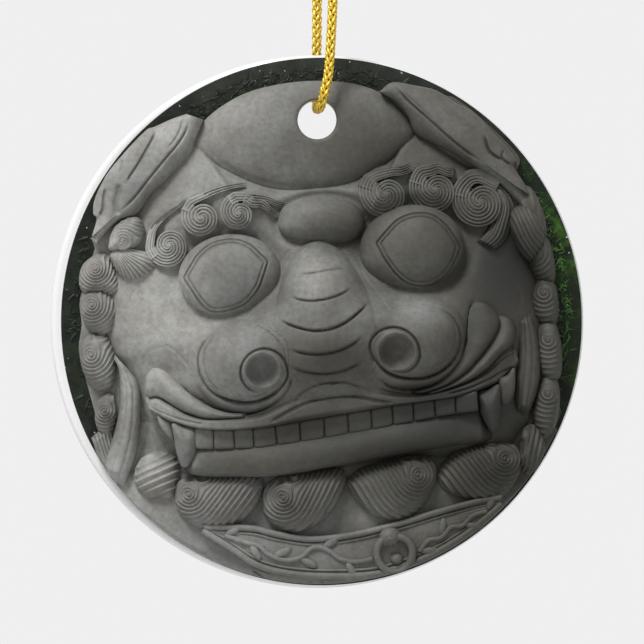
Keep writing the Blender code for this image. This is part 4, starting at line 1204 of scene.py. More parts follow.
def strands_tree():
    """Carves strands into a lump: its 'strand' mark says where they lie, and 'carved' how deep they are."""
    tree, given, result = geometry_tree("carved_strands", Depth="Float", Roundness="Float", Scooped="Float")
    strand, carved, hollow = (stored_mark(tree, name) for name in ("strand", "carved", "hollow"))
    part = calc(tree, "FRACT", strand)
    beside = calc(tree, "ABSOLUTE", calc(tree, "SUBTRACT", calc(tree, "MULTIPLY", part, 2.0), 1.0))
    rounded = calc(tree, "POWER", beside, given["Roundness"])
    scoop = calc(tree, "SUBTRACT", 1.0, rounded)
    shape = output(tree, "ShaderNodeMix", {0: given["Scooped"], 2: rounded, 3: scoop}, data_type="FLOAT")
    valley = calc(tree, "MULTIPLY", shape, carved)
    sink = calc(tree, "MULTIPLY", valley, calc(tree, "MULTIPLY", given["Depth"], -1.0))
    offset = vector(tree, "SCALE", output(tree, "GeometryNodeInputNormal"), Scale=sink)
    moved = output(tree, "GeometryNodeSetPosition", {"Geometry": given["Geometry"], "Offset": offset})
    # The valleys between strands are darkened with painted shade, less where they are scooped.
    darkening = calc(tree, "SUBTRACT", 0.9, calc(tree, "MULTIPLY", given["Scooped"], 0.55))
    dark = calc(tree, "MAXIMUM", calc(tree, "MULTIPLY", calc(tree, "POWER", valley, 1.6), darkening), hollow)
    inputs = {"Geometry": moved, "Name": "hollow", "Value": dark}
    stored = output(tree, "GeometryNodeStoreNamedAttribute", inputs, data_type="FLOAT", domain="POINT")
    return finish_tree(tree, given, result, stored)


STRANDS = strands_tree()


def carve_hair(name, shells, depth, roundness=2.6, scooped=0.0):
    bare = mesh_of(name, shells, [STONE])
    item = grow(bare, STRANDS, name, Depth=depth * MM, Roundness=roundness, Scooped=scooped, Surface=STONE)
    settle(item, [name])


class Coil:
    """A coil of strands. On each turn inwards it shrinks by the same share, or by the same step if it is even."""

    def __init__(self, centre, radius, inner, strands, start, even):
        self.centre, self.radius, self.inner = np.array(centre), radius, inner
        self.strands, self.start, self.even = strands, math.radians(start), even

    def edge(self, turns):
        """The radius of the coil's outer edge after some turns inwards."""
        if self.even:
            return np.maximum(self.radius - (self.radius - self.inner) * turns, 0.01)
        return self.radius * (self.inner / self.radius) ** turns

    def strand(self, x, z):
        """Which strand a place lies in, its share of the coil's radius, and its share of the edge there."""
        dx, dz = x - self.centre[0], z - self.centre[1]
        r = np.maximum(np.hypot(dx, dz), 1e-6)
        turn = np.mod(np.arctan2(dz, dx) - self.start, TURN) / TURN
        share = np.clip(r / self.edge(turn), 0, 1)
        if self.even:
            step = (self.radius - self.inner) / self.strands
            return (r - self.radius) / step + self.strands * turn, r / self.radius, share
        shrink = self.inner / self.radius
        ring = np.log(r / self.radius) / math.log(shrink) - turn
        return self.strands * (1 - shrink ** np.mod(ring, 1)) / (1 - shrink), r / self.radius, share


def coil_height(lift, r):
    """How far a coil stands out, by the share of its radius."""
    return lift * (0.30 + 0.70 * np.sqrt(np.clip(1 - r * r, 0, 1)))


def coil_disc(coil, lift, button=0.30):
    """The coil's round body, which ends in a button."""
    turns = np.linspace(0.01, 0.975, 64)
    way = coil.start + TURN * turns
    outline = coil.centre + coil.edge(turns)[:, None] * on_circle(way)

    def found(x, z):
        strand, r, share = coil.strand(x, z)
        knob = np.clip(1 - (r / button) ** 2, 0, 1)
        out = head_form(x, z) + coil_height(lift, r) + 0.3 * knob
        out = out - 0.4 * share**16
        # Painted shade at the coil's rim.
        return out, {"strand": strand, "carved": smoothstep((r - 0.03) / 0.14), "hollow": 0.3 * share**22}

    return star_shell(outline, coil.centre, found, 48, 220, 3.0)


def coil_tail(coil, tail, end_width, lift, strands=None, start=None, step=0.14):
    """The strands that come in along a tail and turn into the coil."""
    begin = coil.start if start is None else math.radians(start)
    roll = np.linspace(0.6, 0, 9)
    way = on_circle(begin + roll)
    turns = roll / TURN
    lead = coil.centre + (0.5 * (coil.edge(turns) + coil.edge(turns + 1)))[:, None] * way
    path = smooth_curve(np.vstack([lead[::4], np.array(tail)]), 600)
    length = np.sum(np.hypot(*np.diff(path, axis=0).T))
    path = smooth_curve(path[::12], max(24, int(length / step)))
    along = np.linspace(0, 1, len(path))
    heading = np.gradient(path, axis=0)
    heading /= np.linalg.norm(heading, axis=1)[:, None]
    side = np.stack([-heading[:, 1], heading[:, 0]], axis=1)
    width = coil.radius - coil.inner
    half = 0.5 * (width + (end_width - width) * smoothstep(along))
    count = strands or coil.strands

    def surface(x, z, u, v):
        r = np.hypot(x - coil.centre[0], z - coil.centre[1]) / coil.radius
        swell = np.maximum(coil_height(lift, r), lift * (0.46 - 0.22 * u)) + 0.04
        edge = np.abs(2 * v - 1) ** 6
        out = head_form(x, z) + swell * (1 - 0.45 * edge) - 0.2 * smoothstep((u - 0.9) / 0.1)
        carved = smoothstep(u / 0.05) * (1 - 0.6 * smoothstep((u - 0.88) / 0.12))
        # Painted shade along the tail's edges, fading towards its far end.
        return out, {"strand": v * count, "carved": carved, "hollow": 0.25 * edge * (1 - u)}

    return loft_shell(path - half[:, None] * side, path + half[:, None] * side, surface, 8 * count, 3.0)


# Each rolled curl: its coil, how far it stands out, and its tails
ROLLED = {
    "left_brow_curl_1": (Coil((-10.61, 14.73), 3.2, 1.5, 4, 92, True), 1.9, [
        dict(tail=[(-8.28, 16.89), (-6.72, 16.66), (-5.3, 16.04), (-4.02, 15.81)], end_width=1.0),
        dict(tail=[(-7.43, 16.04), (-6.15, 14.96), (-4.93, 14.44), (-3.73, 14.33)], end_width=0.8, start=38),
    ]),
    "left_brow_curl_2": (Coil((-15.73, 14.16), 3.3, 1.9, 3, 122, True), 1.9, [
        dict(tail=[(-15.05, 17.34), (-13.4, 17.97), (-11.55, 18.48), (-9.53, 18.77)], end_width=0.9),
    ]),
    "left_brow_curl_3": (Coil((-20.23, 10.35), 3.45, 1.8, 4, 185, True), 1.9, [
        dict(tail=[
            (-22.45, 12.45), (-21.51, 13.76), (-20.23, 14.87), (-18.86, 15.81), (-17.78, 16.89),
        ], end_width=0.6),
    ]),
    "right_brow_curl_1": (Coil((9.42, 17.35), 4.3, 1.9, 5, 128, True), 1.9, [
        dict(tail=[(8.99, 20.31), (10.19, 20.54), (11.67, 20.65), (13.03, 21.22)], end_width=1.5),
    ]),
    "right_brow_curl_2": (Coil((16.22, 17.98), 4.2, 1.9, 5, 128, True), 1.9, [
        dict(tail=[(15.53, 20.65), (16.56, 20.99), (17.75, 20.54), (18.78, 20.37)], end_width=1.7),
    ]),
    "right_brow_curl_3": (Coil((22.36, 16.33), 4.6, 2.1, 5, 130, True), 1.9, [
        dict(tail=[(21.11, 19.63), (22.36, 19.74), (23.67, 19.12), (24.86, 18.49)], end_width=2.0),
    ]),
}


def fan_surface(low, deep, outline, centre, eye, pitch, heading, spin, carved=1.0):
    """Strands that run in beside each other, turn round an eye and roll up in it. They widen away from it."""
    heading = math.radians(heading)
    ahead = np.array([math.cos(heading), math.sin(heading)])

    def found(x, z):
        share = share_in(outline, centre, x, z)
        out = low + deep * dome(share)
        dx, dz = x - eye[0], z - eye[1]
        along = dx * ahead[0] + dz * ahead[1]
        beside = dx * ahead[1] - dz * ahead[0]
        # Round the eye the strands are circles, and further out their far sides open along the heading.
        opening = 1 - 0.78 * smoothstep((np.hypot(dx, dz) - 0.7) / 3.0)
        far = np.hypot(beside, np.where(along > 0, opening, 1.0) * along)
        # Each strand is a little wider than the one inside it.
        growth = 0.115 if spin else 0.03
        strand = np.log1p(far * growth) / (growth * pitch)
        turn = np.mod(np.arctan2(beside * (spin or 1), along), TURN) / TURN
        if spin:
            strand = strand + turn
            out = out + 0.3 * np.clip(1 - (far / 1.6) ** 2, 0, 1)
        depth = carved * smoothstep((1 - share) / 0.05 + 0.35) * (smoothstep(far / 0.3) if spin else 1)
        # Painted shade towards the fan's outline.
        return out, {"strand": strand + 8, "carved": depth, "hollow": 0.4 * share**10}

    return found


def ray_surface(low, deep, outline, centre, root, count, twist):
    """Strands that spread like a shell's ribs from a root."""

    def found(x, z):
        share = share_in(outline, centre, x, z)
        out = low + deep * dome(share)
        dx, dz = x - root[0], z - root[1]
        strand = np.arctan2(dz, dx) / TURN * count + twist * np.hypot(dx, dz) + 20
        # Painted shade towards the curl's outline.
        return out, {"strand": strand, "carved": smoothstep(np.hypot(dx, dz) / 1.0), "hollow": 0.5 * share**10}

    return found


# Each fan of strands: centre, the eye that it circles, pitch, heading and spin, the lowest level and the rise
# of its lump, and its outline
FANS = {
    "beard_curl_1": ((-21.94, -21.27), (-27.31, -16.54), 0.78, 22, 0, 3.0, 2.8, [
        (-25.06, -21.71), (-24.52, -19.24), (-22.71, -17.87), (-20.52, -17.87), (-18.76, -18.97), (-18.76, -21.71),
        (-19.42, -24.01), (-21.5, -24.45), (-23.69, -23.9),
    ]),
    "beard_curl_2": ((-13.83, -24.34), (-17.67, -23.46), 0.42, 52, 1, 3.6, 3.2, [
        (-19.53, -23.9), (-19.2, -22.15), (-17.78, -21.27), (-13.29, -20.83), (-8.9, -20.61), (-7.26, -21.71),
        (-7.59, -23.9), (-8.79, -26.2), (-11.37, -27.95), (-14.38, -28.5), (-17.01, -27.84), (-18.87, -26.2),
    ]),
    "beard_curl_3": ((-1.89, -24.67), (-4.79, -23.90), 0.43, 62, 1, 3.8, 3.4, [
        (-7.48, -24.89), (-7.15, -22.53), (-5.18, -21.16), (-1.23, -20.39), (2.88, -19.96), (4.03, -21.05),
        (3.59, -23.35), (2.27, -25.76), (-0.14, -27.95), (-2.88, -28.94), (-5.51, -28.17), (-7.04, -26.75),
    ]),
    "beard_curl_4": ((10.38, -22.80), (13.83, -20.72), 0.43, 122, -1, 3.8, 3.4, [
        (4.03, -21.71), (5.78, -20.06), (9.18, -18.97), (13.56, -18.2), (15.97, -18.97), (16.3, -21.43),
        (15.09, -24.56), (12.79, -26.64), (10.55, -27.24), (7.97, -26.64), (5.56, -24.67), (4.36, -23.02),
    ]),
    "beard_curl_5": ((22.21, -20.72), (25.72, -18.53), 0.44, 128, -1, 3.4, 3.0, [
        (16.52, -21.71), (17.07, -19.41), (19.69, -17.44), (23.97, -16.45), (27.15, -16.89), (28.13, -19.19),
        (27.15, -21.82), (25.34, -24.12), (23.15, -24.89), (20.02, -24.34), (17.61, -23.24),
    ]),
    "beard_curl_6": ((29.34, -17.54), (26.33, -18.55), 0.6, 75, 0, 2.8, 2.4, [
        (27.58, -17.33), (28.02, -14.81), (29.45, -13.93), (30.87, -15.68), (31.31, -18.2), (30.54, -20.17),
        (28.79, -20.94), (27.36, -19.63),
    ]),
    "left_mane_curl_1": ((-29.80, 6.13), (-30.39, 7.33), 0.36, 78, 1, 1.6, 3.0, [
        (-32.58, 5.19), (-32.29, 7.33), (-31.19, 8.62), (-29.5, 9.42), (-28.0, 8.62), (-26.81, 5.93),
        (-26.61, 3.94), (-28.2, 3.19), (-30.19, 3.84), (-31.79, 3.84),
    ]),
    "left_mane_curl_2": ((-29.70, 1.55), (-30.89, 2.40), 0.38, 84, 1, 1.6, 3.0, [
        (-32.38, 2.2), (-31.99, 3.94), (-30.49, 4.84), (-28.4, 4.34), (-27.11, 2.35), (-27.3, -0.14),
        (-28.3, -1.79), (-30.19, -1.94), (-31.79, -0.29),
    ]),
    "left_mane_curl_3": ((-29.89, -5.42), (-30.99, -4.43), 0.42, 62, 1, 1.6, 2.8, [
        (-32.48, -4.77), (-32.09, -2.63), (-30.69, -1.54), (-28.6, -1.74), (-27.7, -3.73), (-27.4, -6.62),
        (-28.0, -9.11), (-29.99, -9.51), (-31.69, -7.61),
    ]),
    "left_mane_curl_4": ((-28.90, -12.69), (-29.10, -12.10), 0.38, 84, 1, 1.6, 2.6, [
        (-30.39, -13.49), (-30.19, -11.25), (-29.2, -9.81), (-27.8, -9.9), (-27.3, -12.0), (-27.5, -14.29),
        (-28.4, -15.88), (-29.6, -15.48),
    ]),
    "left_brow_curl_4": ((-26.06, 11.83), (-26.57, 10.97), 0.36, -15, -1, 3.6, 2.9, [
        (-28.53, 10.12), (-27.97, 12.45), (-26.54, 13.87), (-24.78, 14.33), (-23.76, 13.53), (-23.7, 11.97),
        (-24.27, 10.52), (-25.63, 9.66), (-27.34, 9.49),
    ]),
    "right_mane_curl_1": ((29.7, 15.0), (27.6, 11.6), 0.5, 90, -1, 1.6, 2.6, [
        (27.4, 16.2), (28.0, 18.4), (29.4, 18.2), (30.86, 15.4), (31.5, 12.0), (30.7, 11.2), (29.0, 12.6),
    ]),
    "right_mane_curl_2": ((31.2, 8.8), (29.6, 9.6), 0.5, 95, -1, 1.6, 2.6, [
        (29.0, 10.6), (30.7, 12.2), (31.98, 10.6), (32.62, 7.4), (32.3, 5.2), (30.54, 5.4), (29.0, 7.6),
    ]),
    "right_mane_curl_3": ((31.8, 2.9), (31.0, 4.0), 0.5, 100, -1, 1.6, 2.6, [
        (29.4, 3.6), (30.54, 6.0), (32.3, 5.6), (33.1, 2.6), (32.78, -0.2), (31.18, -0.6), (29.74, 0.8),
    ]),
    "right_mane_curl_4": ((32.3, -3.9), (31.6, -2.4), 0.5, 100, -1, 1.6, 2.6, [
        (29.82, -3.0), (30.7, 0.0), (32.46, 0.2), (33.5, -3.6), (33.34, -7.4), (31.66, -8.4), (30.22, -6.2),
    ]),
    "right_mane_curl_5": ((31.9, -11.6), (31.6, -9.8), 0.5, 100, -1, 1.6, 2.4, [
        (29.82, -10.0), (31.02, -7.4), (32.78, -7.8), (33.26, -11.0), (32.3, -15.2), (30.54, -16.2), (29.4, -13.4),
    ]),
}
# Outlines and edge lines of the two brow curls that aren't in a table
SHELL_CURL = [
    (-28.31, 9.12), (-26.88, 10.23), (-25.01, 10.06), (-22.79, 9.44), (-21.54, 8.41), (-22.05, 6.93),
    (-23.64, 5.97), (-25.29, 5.57), (-26.77, 6.25), (-27.85, 7.5),
]
WAVES_LEFT = [(23.7, 18.78), (24.27, 17.13), (24.35, 15.28), (23.61, 13.43), (22.48, 11.72), (21.51, 10.73)]
WAVES_RIGHT = [(24.64, 18.95), (26.34, 17.13), (26.97, 14.99), (26.63, 12.86), (25.69, 10.73), (23.98, 9.33)]
BULGE = [
    (26.46, 14.85), (27.54, 15.82), (29.25, 15.76), (30.49, 14.28), (31.12, 12.01), (30.88, 9.73), (29.53, 8.19),
    (28.05, 8.88), (26.97, 10.87), (26.34, 12.86),
]


def wave_surface(x, z, u, v):
    """Wavy strands beside the right brow."""
    ridge = np.sin(math.pi * v)
    out = head_form(x, z) + 1.3 * ridge**0.6 * both_ends(u, 0.1)
    return out, {"strand": v * 6 + 0.14 * np.sin(u * 15.0), "carved": ridge**0.3, "hollow": np.zeros_like(x)}


def build_hair():
    for name, (coil, lift, tails) in ROLLED.items():
        shells = [coil_disc(coil, lift)] + [coil_tail(coil, lift=lift, **facts) for facts in tails]
        carve_hair(name, shells, 0.34, 2.2)
    for name, (centre, eye, pitch, heading, spin, low, deep, outline) in FANS.items():
        faint = 0.55 if name.startswith("right_mane") else 1.0
        surface = fan_surface(low, deep, outline, centre, eye, pitch, heading, spin, faint)
        rings, spokes, depth = (76, 300, 0.36) if name.startswith("beard") else (48, 190, 0.28)
        carve_hair(name, [star_shell(outline, centre, surface, rings, spokes, PIECE_FLOOR)], depth, 2.4, 1.0)
    centre = (-25.01, 7.99)
    surface = ray_surface(3.2, 3.0, SHELL_CURL, centre, (-27.91, 10.12), 52, 0.12)
    carve_hair("left_brow_curl_5", [star_shell(SHELL_CURL, centre, surface, 50, 200, 2.0)], 0.28)
    centre = (28.85, 12.01)
    surface = fan_surface(2.6, 2.9, BULGE, centre, (35.5, 15.42), 0.52, 115, 0, 0.8)
    shells = [
        loft_shell(*between((WAVES_LEFT, WAVES_RIGHT), 90), wave_surface, 36, 2.2),
        star_shell(BULGE, centre, surface, 44, 180, PIECE_FLOOR),
    ]
    carve_hair("right_brow_curl_4", shells, 0.24)


# Each lock: its two edge lines, its number of strands, and how far it stands out
LOCKS = {
    "left_side_lock": (
        [
            (-28.3, -4.53), (-27.21, -6.62), (-27.11, -11.0), (-27.7, -14.49), (-28.6, -17.47), (-29.3, -19.97),
            (-29.7, -21.96),
        ],
        [
            (-27.7, -4.33), (-24.42, -8.26), (-24.02, -12.0), (-24.12, -15.48), (-24.72, -18.72), (-25.51, -20.96),
            (-26.36, -23.2),
        ], 3, 5.0),
    "right_side_lock": (
        [(27.5, 1.4), (27.2, -2.5), (27.0, -6.0), (26.7, -9.5), (27.2, -12.9)],
        [(29.2, 1.6), (30.5, -2.5), (30.7, -6.0), (30.3, -9.5), (28.9, -13.1)], 3, 4.6),
}
LOW_STRANDS = (
    [(-30.99, -15.98), (-30.19, -18.22), (-29.1, -20.46), (-27.35, -22.55)],
    [(-28.2, -13.49), (-27.6, -16.48), (-26.81, -19.47), (-25.91, -21.96)],
)


def lock_surface(strands, front, depth):
    """A rounded strip of straight strands that stands out as far as front."""

    def found(x, z, u, v):
        swell = np.sin(math.pi * v) ** 0.55 * both_ends(u, 0.12)
        out = LOW_LEVEL + (front - LOW_LEVEL) * (0.25 + 0.75 * swell)
        # Painted shade where the lock sinks at its edges.
        return out, {"strand": v * strands, "carved": np.full_like(x, depth), "hollow": 0.4 * (1 - swell) ** 3}

    return found


def build_locks():
    for name, (first, second, strands, front) in LOCKS.items():
        surface = lock_surface(strands, front, 0.5)
        shells = [loft_shell(*between((first, second), 110), surface, 24, PIECE_FLOOR)]
        if name == "left_side_lock":
            shells.append(loft_shell(*between(LOW_STRANDS, 90), lock_surface(6, 3.2, 1.0), 36, PIECE_FLOOR))
        carve_hair(name, shells, 0.3)


# Ears

LEFT_EAR_EDGES = (
    [
        (-17.94, 28.36), (-20.1, 27.6), (-22.3, 26.6), (-23.3, 26.3), (-25.2, 24.5), (-27.06, 22.5), (-28.2, 21.3),
        (-29.2, 19.9), (-29.9, 18.0), (-30.5, 16.4), (-30.6, 14.7), (-30.1, 14.0), (-30.8, 11.5), (-30.3, 10.7),
    ],
    [
        (-15.5, 27.6), (-16.6, 24.6), (-17.2, 22.9), (-19.2, 20.8), (-20.9, 18.9), (-22.7, 17.4), (-23.9, 15.5),
        (-25.0, 14.4), (-26.9, 13.9), (-28.6, 12.3), (-30.0, 10.6),
    ],
)
RIGHT_EAR_EDGES = (
    [
        (8.6, 31.5), (10.3, 32.7), (13.3, 32.3), (16.3, 31.6), (19.0, 29.9), (21.5, 28.6), (24.3, 25.6),
        (25.9, 24.0), (27.1, 22.2), (26.9, 21.2), (28.3, 19.0), (28.8, 17.9), (29.2, 16.4),
    ],
    [
        (8.9, 31.2), (10.9, 30.0), (12.5, 27.9), (13.3, 25.8), (15.4, 24.6), (18.4, 23.1), (21.3, 21.3),
        (23.6, 19.9), (25.9, 17.9), (27.6, 16.0),
    ],
)
# Lines carved in each ear: points, width, depth and lift
EAR_LINES = {
    "left_ear": [
        ([
            (-17.5, 28.0), (-17.8, 26.3), (-18.9, 24.4), (-20.8, 22.1), (-23.0, 19.4), (-24.7, 17.2), (-26.0, 15.8),
            (-27.1, 14.8),
        ], 0.17, 0.34, 0.0),
        ([(-18.4, 27.9), (-18.7, 26.3), (-19.4, 24.9), (-20.4, 23.6)], 0.13, 0.18, 0.0),
        ([
            (-22.3, 26.5), (-22.3, 25.4), (-23.3, 23.5), (-24.5, 21.4), (-25.5, 19.9), (-26.3, 18.5),
        ], 0.16, 0.3, 0.2),
        ([(-26.7, 22.2), (-26.7, 21.3), (-27.0, 20.2)], 0.14, 0.12, 0.0),
        ([(-28.9, 18.4), (-29.2, 16.8), (-29.3, 15.3), (-29.9, 14.1)], 0.2, 0.34, -0.2),
        ([(-27.2, 18.9), (-27.1, 17.7), (-27.5, 16.0), (-27.1, 14.4)], 0.45, 0.45, 0.0),
    ],
    "right_ear": [
        ([(10.3, 32.5), (12.6, 30.0), (15.1, 27.8), (17.6, 25.5), (20.0, 23.5), (22.7, 21.6)], 0.17, 0.34, 0.0),
        ([(12.0, 31.2), (14.2, 29.2), (16.2, 27.3)], 0.13, 0.14, 0.0),
        ([(23.0, 25.6), (23.1, 24.6), (23.7, 23.1), (25.4, 22.0)], 0.22, 0.3, 0.35),
        ([(25.6, 23.6), (25.3, 22.3), (26.6, 21.3)], 0.2, 0.26, 0.2),
        ([(16.4, 31.4), (17.9, 29.4), (20.2, 27.2), (22.6, 25.2)], 0.3, 0.12, 0.0),
    ],
}


def ear_surface(lines, inner_side):
    """The first line parts the cupped front of the ear from the strip that falls away beside the forehead."""
    grooves = [Groove(*line, 1.4) for line in lines]
    parting = smooth_curve(lines[0][0], 60)

    def found(x, z, u, v):
        rounding = np.clip((v * (1 - v)) * 4, 0, 1) ** 0.25
        out = 2.5 + 2.1 * rounding
        far, _, side = from_line(parting, x, z)
        strip = side * inner_side > 0
        cup = 0.45 * np.sin(math.pi * np.clip(far / 8, 0, 1)) ** 2
        out = out - np.where(strip, 1.1 * smoothstep(far / 3.2), cup)
        # The strip that falls away beside the forehead is darkened with painted shade.
        return cut_lines(grooves, x, z, out, np.where(strip, 0.16 * smoothstep(far / 1.2), 0.0))

    return found


def build_ears():
    for name, edges, inner_side in (("left_ear", LEFT_EAR_EDGES, 1), ("right_ear", RIGHT_EAR_EDGES, -1)):
        surface = ear_surface(EAR_LINES[name], inner_side)
        settle_skin(name, loft_shell(*between(edges, 170), surface, 56, PIECE_FLOOR))


# Chest, collar, plate and disc

COLLAR_TOP = [
    (-15.4, -28.0), (-11.6, -28.1), (-8.4, -28.3), (-5.2, -29.1), (-0.8, -29.7), (4.4, -29.2), (10.5, -27.8),
    (16.5, -26.0), (22.1, -24.5), (25.2, -24.0),
]
COLLAR_FOOT = [
    (-15.6, -28.5), (-11.6, -31.0), (-8.4, -33.1), (-4.8, -34.2), (0.4, -34.7), (7.4, -34.5), (12.2, -33.2),
    (16.2, -31.5), (20.0, -29.2), (22.9, -26.9), (25.2, -24.9),
]
RING_CENTRE = (10.6, -31.7)
# Lines carved in the chest: points, width and depth
CHEST_LINES = [
    ([(-15.75, -28.17), (-12.74, -30.2), (-8.9, -32.77), (-6.16, -34.58)], 0.18, 0.2),
    ([(-8.9, -33.87), (-7.7, -34.86), (-7.26, -36.06)], 0.2, 0.3),
    ([(-1.01, -35.13), (-0.68, -36.06)], 0.14, 0.2),
    ([(0.85, -35.13), (0.63, -36.06)], 0.14, 0.2),
    ([(-25.86, -21.46), (-24.62, -19.47), (-23.52, -16.48), (-23.22, -13.49)], 0.2, 0.15),
]
CHEST_TOP = [
    (31.0, -14.4), (26.0, -15.2), (12.0, -18.4), (0.0, -20.2), (-12.0, -19.4), (-22.0, -14.0), (-29.4, -14.6),
]


def tube_shell(points, radii, sides=10, closed=False):
    """A closed tube along points given as across, up and out."""
    points = np.asarray(points, float)
    count = len(points)
    radii = np.broadcast_to(np.asarray(radii, float), (count,))
    heading = np.roll(points, -1, 0) - np.roll(points, 1, 0) if closed else np.gradient(points, axis=0)
    heading /= np.linalg.norm(heading, axis=1)[:, None]
    side = np.cross(heading, (0, 0, 1.0))
    side /= np.maximum(np.linalg.norm(side, axis=1)[:, None], 1e-9)
    over = np.cross(side, heading)
    turns = full_turn(sides)
    spoke = np.cos(turns)[:, None] * side[:, None] + np.sin(turns)[:, None] * over[:, None]
    ring = (points[:, None] + radii[:, None, None] * spoke).reshape(-1, 3)
    i, j = np.meshgrid(np.arange(count if closed else count - 1), np.arange(sides), indexing="ij")
    n, k = (i + 1) % count, (j + 1) % sides
    faces = np.stack([i * sides + j, n * sides + j, n * sides + k, i * sides + k], -1)
    faces = faces.reshape(-1, 4).tolist()
    if not closed:
        faces.append(list(range(sides)))
        faces.append(list(range(count * sides - 1, (count - 1) * sides - 1, -1)))
    faces = [face[::-1] for face in faces]
    return shell(*ring.T, faces, hollow=np.zeros(len(ring)))


def chest_surface(x, z):
    r = np.hypot(x / 34.0, (z + 29.0) / 12.5)
    out = LOW_LEVEL + 2.4 * np.sqrt(np.clip(1 - 0.95 * r * r, 0.02, 1))
    rim = DISC_RADIUS - CLEARANCE - np.hypot(x, z)
    out = np.minimum(out, LOW_LEVEL + 0.2 + 1.6 * np.sqrt(np.clip(rim / 1.1, 0, 1)))
    out = out + 0.5 * np.exp(-(((x + 20) / 6) ** 2 + ((z + 25) / 4) ** 2))
    return cut_lines([Groove(*line, 0.2, 1.4) for line in CHEST_LINES], x, z, out)


def build_chest():
    turns = np.radians(np.linspace(212, 336, 60))
    outline = np.vstack([(DISC_RADIUS - CLEARANCE) * on_circle(turns), CHEST_TOP])
    settle_skin("chest", star_shell(outline, (1.0, -27.5), chest_surface, 70, 360, PIECE_FLOOR))


def band_surface(x, z, u, v):
    """The collar's rough, slightly rounded band."""
    out = 4.55 + 0.35 * np.sin(math.pi * v) + 0.05 * np.sin(x * 23) * np.sin(z * 21)
    return out, {"hollow": 0.28 * (0.4 + 0.6 * np.abs(np.sin(x * 9.5 + z * 4) * np.sin(z * 11)))}


def vine_tree():
    """A stem along a path, with leaves on either side of it in turn."""
    tree, given, result = geometry_tree(
        "vine_scroll", Stem_Radius="Float", Leaf_Length="Float", Leaf_Spacing="Float",
    )
    path = given["Geometry"]
    spots = node(tree, "GeometryNodeCurveToPoints", {"Curve": path, "Length": given["Leaf Spacing"]}, mode="LENGTH")
    odd = calc(tree, "MODULO", output(tree, "GeometryNodeInputIndex"), 2.0)
    swing = calc(tree, "MULTIPLY", calc(tree, "SUBTRACT", calc(tree, "MULTIPLY", odd, 2.0), 1.0), 0.85)
    tangent = spots.outputs["Tangent"]
    along = output(tree, "FunctionNodeAlignRotationToVector", {"Vector": tangent}, axis="X")
    turn = output(tree, "FunctionNodeAxisAngleToRotation", {"Axis": (0, 1, 0), "Angle": swing})
    inputs = {"Rotation": along, "Rotate By": turn}
    facing = output(tree, "FunctionNodeRotateRotation", inputs, rotation_space="GLOBAL")
    leaf = output(tree, "GeometryNodeMeshUVSphere", {"Segments": 12, "Rings": 8, "Radius": 0.5})
    shifted = output(tree, "GeometryNodeTransform", {"Geometry": leaf, "Translation": (0.55, 0, 0)})
    sizes = {i: calc(tree, "MULTIPLY", given["Leaf Length"], share) for i, share in enumerate((1.0, 0.3, 0.42))}
    leaves = output(tree, "GeometryNodeInstanceOnPoints", {
        "Points": spots.outputs["Points"], "Instance": shifted, "Rotation": facing,
        "Scale": output(tree, "ShaderNodeCombineXYZ", sizes),
    })
    joined = node(tree, "GeometryNodeJoinGeometry", {0: leaves})
    tree.links.new(tube_of(tree, path, given["Stem Radius"], 8), joined.inputs[0])
    return finish_tree(tree, given, result, joined.outputs[0], smooth=True)


# The stem's paths on the collar
VINE_PATHS = [
    [
        (-12.6, -29.2), (-9.6, -30.2), (-8.0, -30.6), (-6.6, -31.8), (-4.4, -32.6), (-2.2, -32.2), (-0.6, -30.9),
        (1.3, -31.1), (3.2, -32.4), (5.6, -32.8), (7.6, -32.4),
    ],
    [(14.0, -31.4), (15.2, -29.9), (16.9, -29.5), (18.3, -28.1), (19.8, -27.9), (21.3, -26.5), (23.2, -25.9)],
]


def path_object(name, lines, closed=()):
    """A curve object with one smooth line for each list of across, up and out."""
    curve = bpy.data.curves.new(name, "CURVE")
    curve.dimensions = "3D"
    for i, line in enumerate(lines):
        spline = curve.splines.new("POLY")
        spline.points.add(len(line) - 1)
        for point, (x, z, out) in zip(spline.points, line):
            point.co = (x * MM, -out * MM, (DISC_Z + z) * MM, 1)
        spline.use_cyclic_u = i in closed
    return linked(name, curve)


def small_lump(lump, power, rings, spokes):
    """A rounded knob on the collar."""
    centre, outline = (lump.across, lump.up), ellipse_outline(lump)
    return star_shell(outline, centre, domed(lump, outline, centre, power), rings, spokes, 2.8)


def build_collar():
    settle_stone("collar_band", loft_shell(*between((COLLAR_TOP, COLLAR_FOOT), 180), band_surface, 34, 2.2))
    for name, edge, inwards in (("collar_upper_rim", COLLAR_TOP, -0.75), ("collar_lower_rim", COLLAR_FOOT, 0.75)):
        path = smooth_curve(edge, 120)
        lift = 4.9 + 0.03 * np.sin(np.linspace(0, 40, 120))
        rim = tube_shell(np.column_stack([path, lift]), 0.42, 12)
        settle_stone(name, rim, tube_shell(np.column_stack([path + (0, inwards), lift - 0.12]), 0.2, 8))
    vines = [np.column_stack([smooth_curve(path, 90), np.full(90, 4.95)]) for path in VINE_PATHS]
    settle(grow(
        path_object("collar_vine", vines), vine_tree(), "collar_vine", Stem_Radius=0.00036, Leaf_Length=0.0026,
        Leaf_Spacing=0.0034, Surface=STONE,
    ), [])
    turns = full_turn(72)
    radius = 2.45 + 0.06 * np.sin(turns * 3)
    ring = np.column_stack([radius * np.cos(turns), radius * np.sin(turns), 5.4 + 0.12 * np.sin(turns)])
    ring += (*RING_CENTRE, 0)
    settle_stone("collar_ring", tube_shell(ring, 0.5 + 0.04 * np.cos(turns * 2), 16, True))
    arch = np.array([(-0.75, 0.2, 5.3), (-0.55, 0.75, 6.0), (0.0, 1.0, 6.35), (0.55, 0.75, 6.0), (0.75, 0.2, 5.3)])
    arch = smooth_curve(arch + (10.0, -30.6, 0), 24)
    knob = small_lump(Lump(10.0, -29.4, 4.6, 1.5, 1.35, 1.8), 2.4, 20, 60)
    settle_stone("collar_knob", knob, tube_shell(arch, 0.3, 10))
    settle_stone("collar_bead", small_lump(Lump(10.9, -32.4, 4.6, 0.95, 0.85, 1.2), 2.2, 16, 48))


